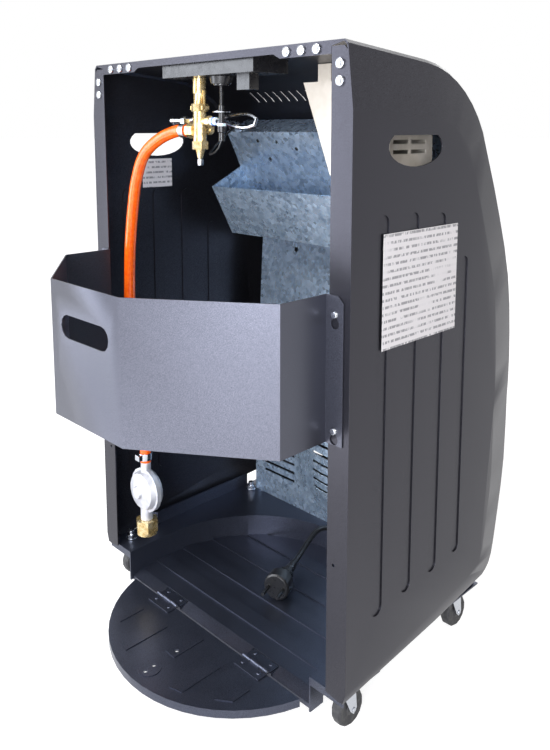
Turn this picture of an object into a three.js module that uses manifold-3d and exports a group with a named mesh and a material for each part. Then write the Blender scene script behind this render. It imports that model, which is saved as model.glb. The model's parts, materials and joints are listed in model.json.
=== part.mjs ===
// Portable gas cabinet heater with an electric fan, seen in the photograph from behind.
// Millimetres, +Z up. The heated front faces -Y and the open back, where the bottle goes in, faces +Y.
// Inside the heater group a depth d is measured from the back plane towards the front, so y = -d.
import * as THREE from 'three';
import { mergeVertices } from 'three/addons/utils/BufferGeometryUtils.js';
import Module from 'manifold-3d';

const wasm = await Module();
wasm.setup();

// ---------------------------------------------------------------- driving dimensions
const WIDTH = 420;               // over the flat sides
const HEIGHT = 678;              // to the back edge of the roof
const DEPTH = 326;               // back plane to the belly of the front
const SHEET = 1.5;               // cabinet steel
const THIN = 1.2;                // galvanised and guard sheet
const GAP = 0.3;                 // between pieces that touch
const LIP = 3.5;                 // rolled edge of the roof and front
const ROOF_RUN = 120;            // straight part of the roof
const ROOF_FALL = 10.3;          // its drop over that run
const SHOULDER_R = 138;          // roof to front
const SHOULDER_END = 60;         // degrees turned at the end of the shoulder
const BELLY_Z = 275;
const KNEE_Z = 92;               // where the front turns under
const KNEE_IN = 24;              // belly to knee
const FOOT_IN = 56;              // belly to the end of the foot
const FOOT_Z = 59.5;
const SIDE_BOTTOM_Z = 46.8;      // back end of the side's lower edge
const SEAM_Z = 606;              // roof panel above, front panel below

const FLANGE_W = 24;             // back flange of a side panel
const FLANGE_EDGE = 1.2;         // its outer edge inside the flat side
const RAIL_H = 7.5;              // back rail of the roof
const RAIL_TAB_H = 12;
const RAIL_TAB_IN = 120;         // half width where the deeper ends begin
const RIVET_R = 5;
const RIVET_H = 2.6;
const RAIL_RIVETS = [129, 148, 167];
const FLANGE_RIVETS_DOWN = [20.5, 35.5];
const FLANGE_HOLES = [187];      // spare screw holes in the back flanges

const HANDLE_D = 96;
const HANDLE_Z = 584;
const HANDLE_W = 88;
const HANDLE_RISE = 11;          // flat top above the ellipse's middle
const HANDLE_DROP = 19;
const GROOVE_DEEP = 1.4;
const GROOVES = [                // depth, width, bottom, top
  [47, 16, 120, 522],
  [95, 16, 124, 521],
  [142.5, 16, 126, 517],
  [188.5, 13.5, 130, 467],
];
const LABEL = { d: 109, z: 448, w: 126, h: 112 };
const LABEL_T = 0.5;

const VENT_COUNT = 17;
const VENT_PITCH = 14.2;
const VENT_W = 3;
const VENT_TOP_D = 178;
const VENT_END_D = 196;

const DECK_Z = 50;
const FLOOR_Z = 20;
const TRAY_T = 1.8;
const RECESS_R = 160;
const RECESS_D = 73;             // depth of the recess circle's centre
const CORRUGATION = 44;          // pitch of the raised bands
const BAND_W = 20;
const BAND_H = 1.6;
const LIP_D = 21;                // the floor slopes down behind this
const LIP_BACK = 6.5;
const LIP_Z = 15.5;
const DECK_BACK = 3;
const DECK_FRONT_X = 196;
const DECK_STEP_D = 62;
const SIDE_FLANGE_Z = 68;          // the deck's edges turn up beside the walls
const SIDE_FLANGE_END = 242;

const WHEEL_R = 19;
const WHEEL_W = 13;
const CASTER_TRAIL = 6;
const AXLE_R = 2.5;
const STEM_R = 4;
const CASTER_BACK = { x: 188, d: 24 };
const CASTER_FRONT = { x: 178, d: 236 };

const GUARD_LOW = 308.4;
const GUARD_H = 142.6;
const GUARD_SIDE_X = 182.6;
const GUARD_SIDE_OUT = 61.5;
const GUARD_FRONT_X = 61.2;
const GUARD_OUT = 146.1;
const GUARD_TAB_X = 203;
const GRIP_W = 86;
const GRIP_H = 24;
const GRIP_Z = 406.5;
const KEY_X = 193;
const KEY_Z = [433, 322];
const KEY_SLOT = 5.6;
const KEY_EYE = 10;
const KEY_DROP = 8.5;            // screw in the slot to the middle of the eye
const KEY_HEAD_R = 4;

const FLAP_R = 156;
const FLAP_OUT = 104;            // furthest point behind the back plane
const FLAP_EDGE = 2.4;           // hinge edge in front of the back plane
const FLAP_Z = 18;
const FLAP_SKIRT = 9;
const HINGE_X = [-80, 80];
const HINGE_D = 3.5;
const HINGE_W = 39;
const KNUCKLE_R = 2.4;
const PIN_R = 1;
const LEAF_OUT = 11.5;
const LEAF_IN = 19.5;
const LEAF_HOLE_X = 12.5;
const LEAF_SCREW_R = 2.6;

const SHIELD_D = 244;
const SHIELD_X = 175;
const SHIELD_SPLIT_Z = 196;
const SHIELD_TOP_Z = 441;
const DOME_R = 86;
const DOME_Z = 138;
const DOME_OUT = 24;

const HOOD_X = 150;
const HOOD = {                   // section of the burner hood, depth and height
  roof: [206, 613], ridge: [169, 597], crease: [193, 549.6], foot: [233, 459],
};
const TRAY_LIP = [141, 524];
const TRAY_FOOT = [177, 458];
const BURNER_X = 128;
const BURNER_T = 24;
const BURNER_OFF = 7;            // between the hood sheet and the burner box
const PLAQUES = 3;
const PLAQUE_T = 10;

const WINDOW_X = 138;            // burner opening in the front panel
const WINDOW_Z = [462, 578];
const OUTLET_X = 118;            // warm air slots low in the front
const OUTLET_Z = 112;
const OUTLET_PITCH = 15;
const OUTLET_COUNT = 7;
const OUTLET_H = 6;

const BEZEL = { d: 33, w: 150, l: 50, deep: 15, wall: 2 };
const VALVE_X = 36.5;
const VALVE_D = 30;
const VALVE_Z = 599;             // axis of the hose connection
const KNOB_R = 17;
const KNOB_H = 13;
const PIEZO_X = -1;
const SWITCH_X = -43;

const HOSE_R = 7;
const CORD_R = 3.5;

const HALF = WIDTH / 2;
const REAR_Y = (DEPTH - GUARD_OUT) / 2;   // back plane, so that the origin is under the middle

// ---------------------------------------------------------------- materials
const paint = (name, color, roughness, metalness) =>
  new THREE.MeshStandardMaterial({ name, color, roughness, metalness });
const MAT = {
  cabinet: paint('cabinet_grey', 0x4a4c58, 0.45, 0.5),
  guard: paint('guard_grey', 0x8f94a8, 0.42, 0.6),
  base: paint('base_grey', 0x3a3e4e, 0.45, 0.4),
  zinc: paint('galvanised', 0xa9bccb, 0.35, 0.9),
  steel: paint('bright_steel', 0xd4d8dd, 0.3, 1),
  brass: paint('brass', 0xc9a45c, 0.3, 1),
  diecast: paint('die_cast', 0xd5d6da, 0.4, 0.7),
  black: paint('black_plastic', 0x121216, 0.5, 0),
  rubber: paint('grey_tyre', 0x3b3b3f, 0.8, 0),
  hose: paint('orange_hose', 0xff5c12, 0.45, 0),
  ceramic: paint('ceramic', 0xd9c3a4, 0.9, 0),
  label: paint('label', 0xe2dfdb, 0.6, 0),
  box: paint('cream_metal', 0xcfc6ba, 0.5, 0.1),
};

// ---------------------------------------------------------------- solids
function solid(geometry) {
  const bare = geometry.clone();
  bare.deleteAttribute('normal');
  bare.deleteAttribute('uv');
  const g = mergeVertices(bare, 1e-4);
  const mesh = new wasm.Mesh({
    numProp: 3,
    vertProperties: new Float32Array(g.attributes.position.array),
    triVerts: new Uint32Array(g.index.array),
  });
  return new wasm.Manifold(mesh);
}

function geometryOf(manifold) {
  const mesh = manifold.getMesh();
  const g = new THREE.BufferGeometry();
  g.setAttribute('position', new THREE.BufferAttribute(mesh.vertProperties, 3));
  g.setIndex(new THREE.BufferAttribute(mesh.triVerts, 1));
  return g;
}

const join = (first, ...rest) => rest.reduce((sum, s) => sum.add(s), first);
const joinAll = (list) => join(...list);
const cut = (body, ...tools) => tools.reduce((left, s) => left.subtract(s), body);

const heater = new THREE.Group();
heater.position.y = REAR_Y;

function piece(name, shape, material) {
  const geometry = shape.isBufferGeometry ? shape : geometryOf(shape);
  const mesh = new THREE.Mesh(geometry, material);
  mesh.name = name;
  heater.add(mesh);
  return mesh;
}

// A box from its limits; d0..d1 is depth into the cabinet.
function block(x0, x1, d0, d1, z0, z1) {
  const g = new THREE.BoxGeometry(x1 - x0, d1 - d0, z1 - z0);
  g.translate((x0 + x1) / 2, -(d0 + d1) / 2, (z0 + z1) / 2);
  return solid(g);
}

// A round bar centred on (x, d, z) along 'x', 'y' or 'z'.
function rod(axis, r, length, x, d, z, sides = 16, r2 = r) {
  const g = new THREE.CylinderGeometry(r2, r, length, sides);
  if (axis === 'x') g.rotateZ(-Math.PI / 2);
  if (axis === 'z') g.rotateX(Math.PI / 2);
  g.translate(x, -d, z);
  return solid(g);
}

// An outline of [x, d] pairs, raised from z0 to z1.
function slab(outline, z0, z1) {
  const shape = new THREE.Shape(outline.map(([x, d]) => new THREE.Vector2(x, -d)));
  const g = new THREE.ExtrudeGeometry(shape, { depth: z1 - z0, bevelEnabled: false });
  g.translate(0, 0, z0);
  return solid(g);
}

// An outline of [d, z] pairs, drawn out from x0 to x1.
function bar(outline, x0, x1) {
  const shape = new THREE.Shape(outline.map(([d, z]) => new THREE.Vector2(-d, z)));
  const g = new THREE.ExtrudeGeometry(shape, { depth: x1 - x0, bevelEnabled: false });
  // local (u, v, w) becomes (x, y, z) = (x0 + w, u, v)
  g.applyMatrix4(new THREE.Matrix4().set(0, 0, 1, x0, 1, 0, 0, 0, 0, 1, 0, 0, 0, 0, 0, 1));
  return solid(g);
}

// An outline of [x, z] pairs, drawn out over the depths d0 to d1.
function plate(outline, d0, d1, segments = 8) {
  const shape = outline instanceof THREE.Shape ? outline
    : new THREE.Shape(outline.map(([x, z]) => new THREE.Vector2(x, z)));
  const g = new THREE.ExtrudeGeometry(shape, {
    depth: d1 - d0, bevelEnabled: false, curveSegments: segments,
  });
  // local (u, v, w) becomes (x, y, z) = (u, -d0 - w, v)
  g.applyMatrix4(new THREE.Matrix4().set(1, 0, 0, 0, 0, 0, -1, -d0, 0, 1, 0, 0, 0, 0, 0, 1));
  return solid(g);
}

// A slot with round ends, long along x, drawn through the depths d0 to d1.
function slotCutter(x, z, length, height, d0, d1) {
  const r = height / 2;
  const s = new THREE.Shape();
  s.absarc(x + length / 2 - r, z, r, -Math.PI / 2, Math.PI / 2);
  s.absarc(x - length / 2 + r, z, r, Math.PI / 2, Math.PI * 1.5);
  return plate(s, d0, d1, 3);
}

// A closed sheet between two grids of points with the same rows and columns.
function sheet(outer, inner) {
  const rows = outer.length;
  const cols = outer[0].length;
  const points = [];
  outer.forEach((row) => row.forEach((p) => points.push(...p)));
  inner.forEach((row) => row.forEach((p) => points.push(...p)));
  const at = (side, i, j) => side * rows * cols + i * cols + j;
  const faces = [];
  const quad = (a, b, c, d) => faces.push(a, b, c, a, c, d);
  for (let i = 0; i < rows - 1; i += 1) {
    for (let j = 0; j < cols - 1; j += 1) {
      quad(at(0, i, j), at(0, i + 1, j), at(0, i + 1, j + 1), at(0, i, j + 1));
      quad(at(1, i, j), at(1, i, j + 1), at(1, i + 1, j + 1), at(1, i + 1, j));
    }
    quad(at(0, i, 0), at(1, i, 0), at(1, i + 1, 0), at(0, i + 1, 0));
    quad(at(0, i, cols - 1), at(0, i + 1, cols - 1), at(1, i + 1, cols - 1), at(1, i, cols - 1));
  }
  for (let j = 0; j < cols - 1; j += 1) {
    quad(at(0, 0, j), at(0, 0, j + 1), at(1, 0, j + 1), at(1, 0, j));
    quad(at(0, rows - 1, j), at(1, rows - 1, j), at(1, rows - 1, j + 1), at(0, rows - 1, j + 1));
  }
  return closedMesh(points, faces);
}

// A solid from a closed set of triangles, turned right side out if need be.
function closedMesh(points, faces) {
  const volume = faces.reduce((sum, _, k) => {
    if (k % 3) return sum;
    const [a, b, c] = [0, 1, 2].map((m) => new THREE.Vector3().fromArray(points, 3 * faces[k + m]));
    return sum + a.dot(b.cross(c));
  }, 0);
  const turned = faces.map((_, k) => faces[k - (k % 3) + 2 - (k % 3)]);
  const g = new THREE.BufferGeometry();
  g.setAttribute('position', new THREE.Float32BufferAttribute(points, 3));
  g.setIndex(volume > 0 ? faces : turned);
  return solid(g);
}

// A pressed panel: a flat field with a bevelled rim, open along one straight edge from the last point
// to the first. Each argument is a list of points; field and rim are the outer face, the rest the inner.
function pressing(field, rim, innerField, innerRim, flat2d) {
  const n = field.length;
  const points = [...field, ...rim, ...innerField, ...innerRim].flat();
  const [oF, oR, iF, iR] = [0, 1, 2, 3].map((k) => (i) => k * n + i);
  const faces = [];
  const quad = (a, b, c, d) => faces.push(a, b, c, a, c, d);
  THREE.ShapeUtils.triangulateShape(flat2d.map(([u, v]) => new THREE.Vector2(u, v)), [])
    .forEach(([a, b, c]) => faces.push(oF(a), oF(b), oF(c), iF(c), iF(b), iF(a)));
  for (let i = 0; i < n - 1; i += 1) {
    quad(oF(i + 1), oF(i), oR(i), oR(i + 1));
    quad(oR(i + 1), oR(i), iR(i), iR(i + 1));
    quad(iR(i + 1), iR(i), iF(i), iF(i + 1));
  }
  quad(oF(0), oF(n - 1), iF(n - 1), iF(0));
  quad(oF(n - 1), oR(n - 1), iR(n - 1), iF(n - 1));
  quad(oR(0), oF(0), iF(0), iR(0));
  return closedMesh(points, faces);
}

// A bent strip: a path of [u, v] points given a thickness to its left, as a closed outline.
function bentOutline(path, thickness) {
  const side = path.map((p, i) => {
    const before = path[Math.max(i - 1, 0)];
    const after = path[Math.min(i + 1, path.length - 1)];
    const n1 = leftNormal(i === 0 ? p : before, i === 0 ? after : p);
    const n2 = leftNormal(i === path.length - 1 ? before : p, i === path.length - 1 ? p : after);
    const mid = [n1[0] + n2[0], n1[1] + n2[1]];
    const scale = thickness * 2 / (mid[0] ** 2 + mid[1] ** 2);
    return [p[0] + mid[0] * scale, p[1] + mid[1] * scale];
  });
  return [...path, ...side.reverse()];
}

function leftNormal([x0, y0], [x1, y1]) {
  const l = Math.hypot(x1 - x0, y1 - y0);
  return [-(y1 - y0) / l, (x1 - x0) / l];
}

// A round tube along points of [x, d, z].
function tube(points, r, sides, steps) {
  const path = new THREE.CatmullRomCurve3(
    points.map(([x, d, z]) => new THREE.Vector3(x, -d, z)), false, 'centripetal');
  const section = new THREE.Shape();
  for (let k = 0; k < sides; k += 1) {
    const a = (k / sides) * 2 * Math.PI;
    if (k === 0) section.moveTo(r * Math.cos(a), r * Math.sin(a));
    else section.lineTo(r * Math.cos(a), r * Math.sin(a));
  }
  section.closePath();
  return new THREE.ExtrudeGeometry(section, { steps, extrudePath: path, curveSegments: 1 });
}

// ---------------------------------------------------------------- outline of the cabinet
const rad = (degrees) => (degrees * Math.PI) / 180;
const mix = (a, b, t) => a + (b - a) * t;

const ROOF_ANGLE = Math.atan2(ROOF_FALL, ROOF_RUN);
const SHOULDER_C = [
  ROOF_RUN - SHOULDER_R * Math.sin(ROOF_ANGLE),
  HEIGHT - ROOF_FALL - SHOULDER_R * Math.cos(ROOF_ANGLE),
];

// Each station of the outline: depth, height, width of the bevel on the side panel and its slope.
const FOOT_AIM = [-12, -25];      // degrees below the horizontal: the way the bevel runs out round the foot
const BEVEL = {
  back: [58, 0.112], roof: [54, 0.112], shoulder: [37, 0.13], brow: [42, 0.2],
  chest: [57, 0.25], belly: [59, 0.254], shin: [52, 0.254], knee: [50, 0.25],
  foot: [54, 0.17], under: [20, 0.25], heel: [12, 0.3],
};

function stretch(points, from, to) {
  return points.map(([d, z], i) => {
    const t = points.length > 1 ? i / (points.length - 1) : 0;
    return { d, z, w: mix(BEVEL[from][0], BEVEL[to][0], t), s: mix(BEVEL[from][1], BEVEL[to][1], t) };
  });
}

function spline(knots, count) {
  const curve = new THREE.SplineCurve(knots.map(([d, z]) => new THREE.Vector2(d, z)));
  return Array.from({ length: count + 1 }, (_, i) => curve.getPoint(i / count).toArray());
}

function shoulderPoints(count) {
  const from = ROOF_ANGLE;
  const to = rad(SHOULDER_END);
  return Array.from({ length: count + 1 }, (_, i) => {
    const a = mix(from, to, i / count);
    return [SHOULDER_C[0] + SHOULDER_R * Math.sin(a), SHOULDER_C[1] + SHOULDER_R * Math.cos(a)];
  });
}

function outlineStations() {
  const shoulder = shoulderPoints(7);
  const end = shoulder[shoulder.length - 1];
  const upper = spline([
    end, [DEPTH - 58, HEIGHT - 158], [DEPTH - 21, HEIGHT - 248],
    [DEPTH - 5, BELLY_Z + 67], [DEPTH, BELLY_Z],
  ], 10);
  const lower = spline([
    [DEPTH, BELLY_Z], [DEPTH - 3, BELLY_Z - 82], [DEPTH - 14, BELLY_Z - 142], [DEPTH - KNEE_IN, KNEE_Z],
  ], 6);
  const foot = spline([
    [DEPTH - KNEE_IN, KNEE_Z], [DEPTH - KNEE_IN - 8, KNEE_Z - 19],
    [DEPTH - KNEE_IN - 19, FOOT_Z + 4.5], [DEPTH - FOOT_IN, FOOT_Z],
  ], 4);
  const wrap = [
    ...stretch([[0, HEIGHT], [ROOF_RUN / 2, HEIGHT - ROOF_FALL / 2]], 'back', 'roof'),
    ...stretch(shoulder, 'roof', 'shoulder'),
    ...stretch(upper, 'shoulder', 'belly').slice(1),
    ...stretch(lower, 'belly', 'knee').slice(1),
    ...stretch(foot, 'knee', 'foot').slice(1).map((s, i, all) => {
      const a = rad(mix(FOOT_AIM[0], FOOT_AIM[1], (i + 1) / all.length));
      return { ...s, aim: [Math.cos(a), Math.sin(a)] };
    }),
  ];
  wrap.forEach((s, i) => {
    const a = wrap[Math.max(i - 1, 0)];
    const b = wrap[Math.min(i + 1, wrap.length - 1)];
    const l = Math.hypot(b.d - a.d, b.z - a.z);
    s.n = [-(b.z - a.z) / l, (b.d - a.d) / l];
  });
  wrap[0].n = [0, 1];
  return wrap;
}

const WRAP = outlineStations();

// Depth of the front's outer face at a height, and height of the roof at a depth.
function frontAt(z) {
  for (let i = WRAP.length - 1; i > 0; i -= 1) {
    const a = WRAP[i - 1];
    const b = WRAP[i];
    if (a.z >= z && b.z <= z) return mix(b.d, a.d, (z - b.z) / (a.z - b.z));
  }
  return DEPTH;
}

function roofAt(d) {
  for (let i = 1; i < WRAP.length; i += 1) {
    const a = WRAP[i - 1];
    const b = WRAP[i];
    if (b.d >= d) return mix(a.z, b.z, (d - a.d) / (b.d - a.d));
  }
  return HEIGHT;
}

// ---------------------------------------------------------------- cabinet
// The side panel's edge lies one rolled lip inside the wrap's outer face.
function sideRing() {
  const ring = WRAP.map((s) => ({
    ...s, d: Math.max(0, s.d - LIP * s.n[0]), z: s.z - LIP * s.n[1],
  }));
  const last = ring[ring.length - 1];
  const down = [last.z - SIDE_BOTTOM_Z, last.d].map((v) => v / Math.hypot(last.z - SIDE_BOTTOM_Z, last.d));
  const under = stretch([[last.d * 0.6, mix(SIDE_BOTTOM_Z, last.z, 0.6)], [0, SIDE_BOTTOM_Z]], 'under', 'heel');
  under.forEach((s) => ring.push({ ...s, n: [down[0], -down[1]] }));
  ring[ring.length - 1].n = [0, -1];
  return ring;
}

function sidePanel(sign) {
  const ring = sideRing();
  const field = [];
  const rim = [];
  const innerField = [];
  const innerRim = [];
  ring.forEach((s) => {
    const aim = s.aim ?? s.n;
    const edge = s.d < 1 ? 0 : 1;
    const rise = s.w * s.s;
    const bend = Math.atan(s.s);
    const pull = SHEET * Math.tan(bend / 2);
    const miter = SHEET * (1 - Math.sin(bend)) / Math.cos(bend);
    const id = s.d - s.w * aim[0] * edge;
    const iz = s.z - s.w * aim[1];
    field.push([sign * HALF, -id, iz]);
    rim.push([sign * (HALF - rise), -s.d, s.z]);
    innerField.push([sign * (HALF - SHEET), -(id - pull * aim[0] * edge), iz - pull * aim[1]]);
    innerRim.push([
      sign * (HALF - rise - miter), -(s.d - SHEET * s.n[0] * edge), s.z - SHEET * s.n[1],
    ]);
  });
  const shell = pressing(field, rim, innerField, innerRim, field.map(([, y, z]) => [y, z]));
  const rivets = FLANGE_RIVETS_DOWN.map((down) =>
    rivetHead(sign * (HALF - FLANGE_EDGE - FLANGE_W / 2 - 2), HEIGHT - down));
  const body = join(shell, backFlange(sign), ...grooveBacks(sign), ...rivets);
  return cut(body, ...grooveCutters(sign), handleCutter(sign), ...flangeHoles(sign));
}

function backFlange(sign) {
  const top = sideRing()[0];
  const crease = top.z - top.w;
  const lean = top.w * top.s;
  const roofInside = HEIGHT - LIP - SHEET - GAP;
  const outline = [
    [HALF - FLANGE_EDGE - FLANGE_W, SIDE_BOTTOM_Z + 3],
    [HALF - 9, SIDE_BOTTOM_Z + 0.4],
    [HALF - FLANGE_EDGE - 4, SIDE_BOTTOM_Z + 1.2],
    [HALF - 0.6, SIDE_BOTTOM_Z + 14],
    [HALF - 0.4, crease],
    [HALF - lean - 0.4, top.z - 6],
    [HALF - lean - 4, roofInside],
    [HALF - FLANGE_EDGE - FLANGE_W, roofInside],
  ];
  return plate(outline.map(([x, z]) => [sign * x, z]), 0, SHEET);
}

function grooveOutline(width, low, high) {
  const r = width / 2;
  const s = new THREE.Shape();
  s.absarc(0, high - r, r, 0, Math.PI);
  s.absarc(0, low + r, r, Math.PI, 2 * Math.PI);
  return s;
}

// A pressed groove runs along z in the side; its cutter opens outwards and its back is a raised bar inside.
function grooveBar(sign, [d, width, low, high], x0, x1, grow) {
  const g = new THREE.ExtrudeGeometry(grooveOutline(width + 2 * grow, low - grow, high + grow), {
    depth: x1 - x0, bevelEnabled: false, curveSegments: 4,
  });
  g.applyMatrix4(new THREE.Matrix4().set(0, 0, 1, x0, 1, 0, 0, -d, 0, 1, 0, 0, 0, 0, 0, 1));
  return solid(g);
}

function grooveBacks(sign) {
  const far = HALF - SHEET - GROOVE_DEEP;
  const near = HALF - SHEET / 2;
  const [x0, x1] = sign > 0 ? [far, near] : [-near, -far];
  return GROOVES.map((g) => grooveBar(sign, g, x0, x1, SHEET * 0.6));
}

function grooveCutters(sign) {
  const [x0, x1] = sign > 0 ? [HALF - GROOVE_DEEP, HALF + 1] : [-HALF - 1, -HALF + GROOVE_DEEP];
  return GROOVES.map((g) => grooveBar(sign, g, x0, x1, 0));
}

function handleCutter(sign) {
  const points = [];
  const start = Math.asin(HANDLE_RISE / HANDLE_DROP);
  const steps = 18;
  for (let k = 0; k <= steps; k += 1) {
    const a = mix(Math.PI - start, 2 * Math.PI + start, k / steps);
    points.push([HANDLE_D + HANDLE_W / 2 * Math.cos(a), HANDLE_Z + HANDLE_DROP * Math.sin(a)]);
  }
  const [x0, x1] = sign > 0 ? [HALF - 6, HALF + 2] : [-HALF - 2, -HALF + 6];
  return bar(points, x0, x1);
}

function flangeHoles(sign) {
  const spare = FLANGE_HOLES.map((z) => rod('y', 1.8, 3 * SHEET, sign * KEY_X, SHEET / 2, z, 8));
  const screws = KEY_Z.map((z) => rod('y', KEY_SLOT / 2, 3 * SHEET, sign * KEY_X, SHEET / 2, z, 12));
  return [...spare, ...screws];
}

// The wrap is the roof and front: a sheet whose two long edges roll down onto the side panels.
function wrapSheet(stations) {
  const outer = [];
  const inner = [];
  stations.forEach((s) => {
    const rise = s.w * s.s;
    const bend = Math.atan(s.s);
    const miter = SHEET * (1 - Math.sin(bend)) / Math.cos(bend);
    const edge = HALF - rise - GAP;
    const roll = edge - LIP;
    const curb = roll - SHEET * 0.41;
    const low = (t) => [s.d - t * s.n[0], s.z - t * s.n[1]];
    const p = (x, t) => [x, -Math.max(0, low(t)[0]), low(t)[1]];
    outer.push([p(-edge, LIP), p(-roll, 0), p(roll, 0), p(edge, LIP)]);
    inner.push([
      p(-(edge - miter), LIP + SHEET), p(-curb, SHEET), p(curb, SHEET), p(edge - miter, LIP + SHEET),
    ]);
  });
  return sheet(outer, inner);
}

function stationAt(z) {
  for (let i = 1; i < WRAP.length; i += 1) {
    const a = WRAP[i - 1];
    const b = WRAP[i];
    if (a.z >= z && b.z < z) {
      const t = (a.z - z) / (a.z - b.z);
      return {
        i, d: mix(a.d, b.d, t), z, w: mix(a.w, b.w, t), s: mix(a.s, b.s, t),
        n: [mix(a.n[0], b.n[0], t), mix(a.n[1], b.n[1], t)],
      };
    }
  }
  return { ...WRAP[WRAP.length - 1], i: WRAP.length };
}

function roofPanel() {
  const seam = stationAt(SEAM_Z + GAP);
  const rivets = [-1, 1].flatMap((s) => RAIL_RIVETS.map((x) => rivetHead(s * x, HEIGHT - RAIL_TAB_H / 2 - 0.5)));
  const body = join(wrapSheet([...WRAP.slice(0, seam.i), seam]), backRail(), ...rivets);
  const well = block(-BEZEL.w / 2 - GAP, BEZEL.w / 2 + GAP,
    BEZEL.d - BEZEL.l / 2 - GAP, BEZEL.d + BEZEL.l / 2 + GAP, HEIGHT - 20, HEIGHT + 5);
  return cut(body, well, ...ventCutters());
}

// The roof's back edge is turned down as a rail that laps over the side panels' flanges.
function backRail() {
  const half = HALF - BEVEL.back[0] * BEVEL.back[1] - GAP - LIP;
  const tab = HALF - FLANGE_EDGE - FLANGE_W - GAP;
  const outline = [
    [-tab, HEIGHT - RAIL_TAB_H], [-RAIL_TAB_IN, HEIGHT - RAIL_TAB_H], [-RAIL_TAB_IN + 9, HEIGHT - RAIL_H],
    [RAIL_TAB_IN - 9, HEIGHT - RAIL_H], [RAIL_TAB_IN, HEIGHT - RAIL_TAB_H], [tab, HEIGHT - RAIL_TAB_H],
    [tab, HEIGHT - LIP - SHEET], [half, HEIGHT - SHEET], [half, HEIGHT],
    [-half, HEIGHT], [-half, HEIGHT - SHEET], [-tab, HEIGHT - LIP - SHEET],
  ];
  return plate(outline, 0, SHEET);
}

function ventCutters() {
  const low = [VENT_END_D, roofAt(VENT_END_D)];
  const high = [VENT_TOP_D, roofAt(VENT_TOP_D)];
  const along = [low[0] - high[0], low[1] - high[1]];
  const length = Math.hypot(...along);
  const out = [-along[1] / length, along[0] / length];
  const corner = (p, t) => [p[0] + out[0] * t, p[1] + out[1] * t];
  const section = [corner(high, -8), corner(low, -8), corner(low, 8), corner(high, 8)];
  return Array.from({ length: VENT_COUNT }, (_, i) => {
    const x = (i - (VENT_COUNT - 1) / 2) * VENT_PITCH;
    return bar(section, x - VENT_W / 2, x + VENT_W / 2);
  });
}

function frontPanel() {
  const seam = stationAt(SEAM_Z);
  const body = wrapSheet([seam, ...WRAP.slice(seam.i)]);
  const window = block(-WINDOW_X, WINDOW_X, 150, DEPTH + 5, WINDOW_Z[0], WINDOW_Z[1]);
  return cut(body, window, ...outletCutters());
}

function outletCutters() {
  return Array.from({ length: OUTLET_COUNT }, (_, i) => {
    const z = OUTLET_Z + i * OUTLET_PITCH;
    return slotCutter(0, z, 2 * OUTLET_X, OUTLET_H, SHIELD_D + 30, DEPTH + 5);
  });
}

// A rivet's domed head stands on a back edge and its shank is one with the sheet.
function rivetHead(x, z) {
  const sunk = SHEET / 2;
  return rod('y', RIVET_R, RIVET_H + sunk, x, sunk / 2 - RIVET_H / 2, z, 12, RIVET_R * 0.6);
}

function sideLabel() {
  const x = HALF + GAP;
  return block(-x - LABEL_T, -x, LABEL.d - LABEL.w / 2, LABEL.d + LABEL.w / 2,
    LABEL.z - LABEL.h / 2, LABEL.z + LABEL.h / 2);
}

// ---------------------------------------------------------------- base tray and casters
// The bottle's recess: straight sides from the open back, closed by a half circle.
function recessOutline(r, back, segments = 22) {
  const points = [[-r, back]];
  for (let k = 0; k <= segments; k += 1) {
    const a = Math.PI * (1 - k / segments);
    points.push([r * Math.cos(a), RECESS_D + r * Math.sin(a)]);
  }
  points.push([r, back]);
  return points;
}

const DECK_FRONT = DEPTH - FOOT_IN - 2;
const DECK_X = HALF - 5;
const CASTERS = [
  ['back_left', -CASTER_BACK.x, CASTER_BACK.d], ['back_right', CASTER_BACK.x, CASTER_BACK.d],
  ['front_left', -CASTER_FRONT.x, CASTER_FRONT.d], ['front_right', CASTER_FRONT.x, CASTER_FRONT.d],
];

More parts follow.
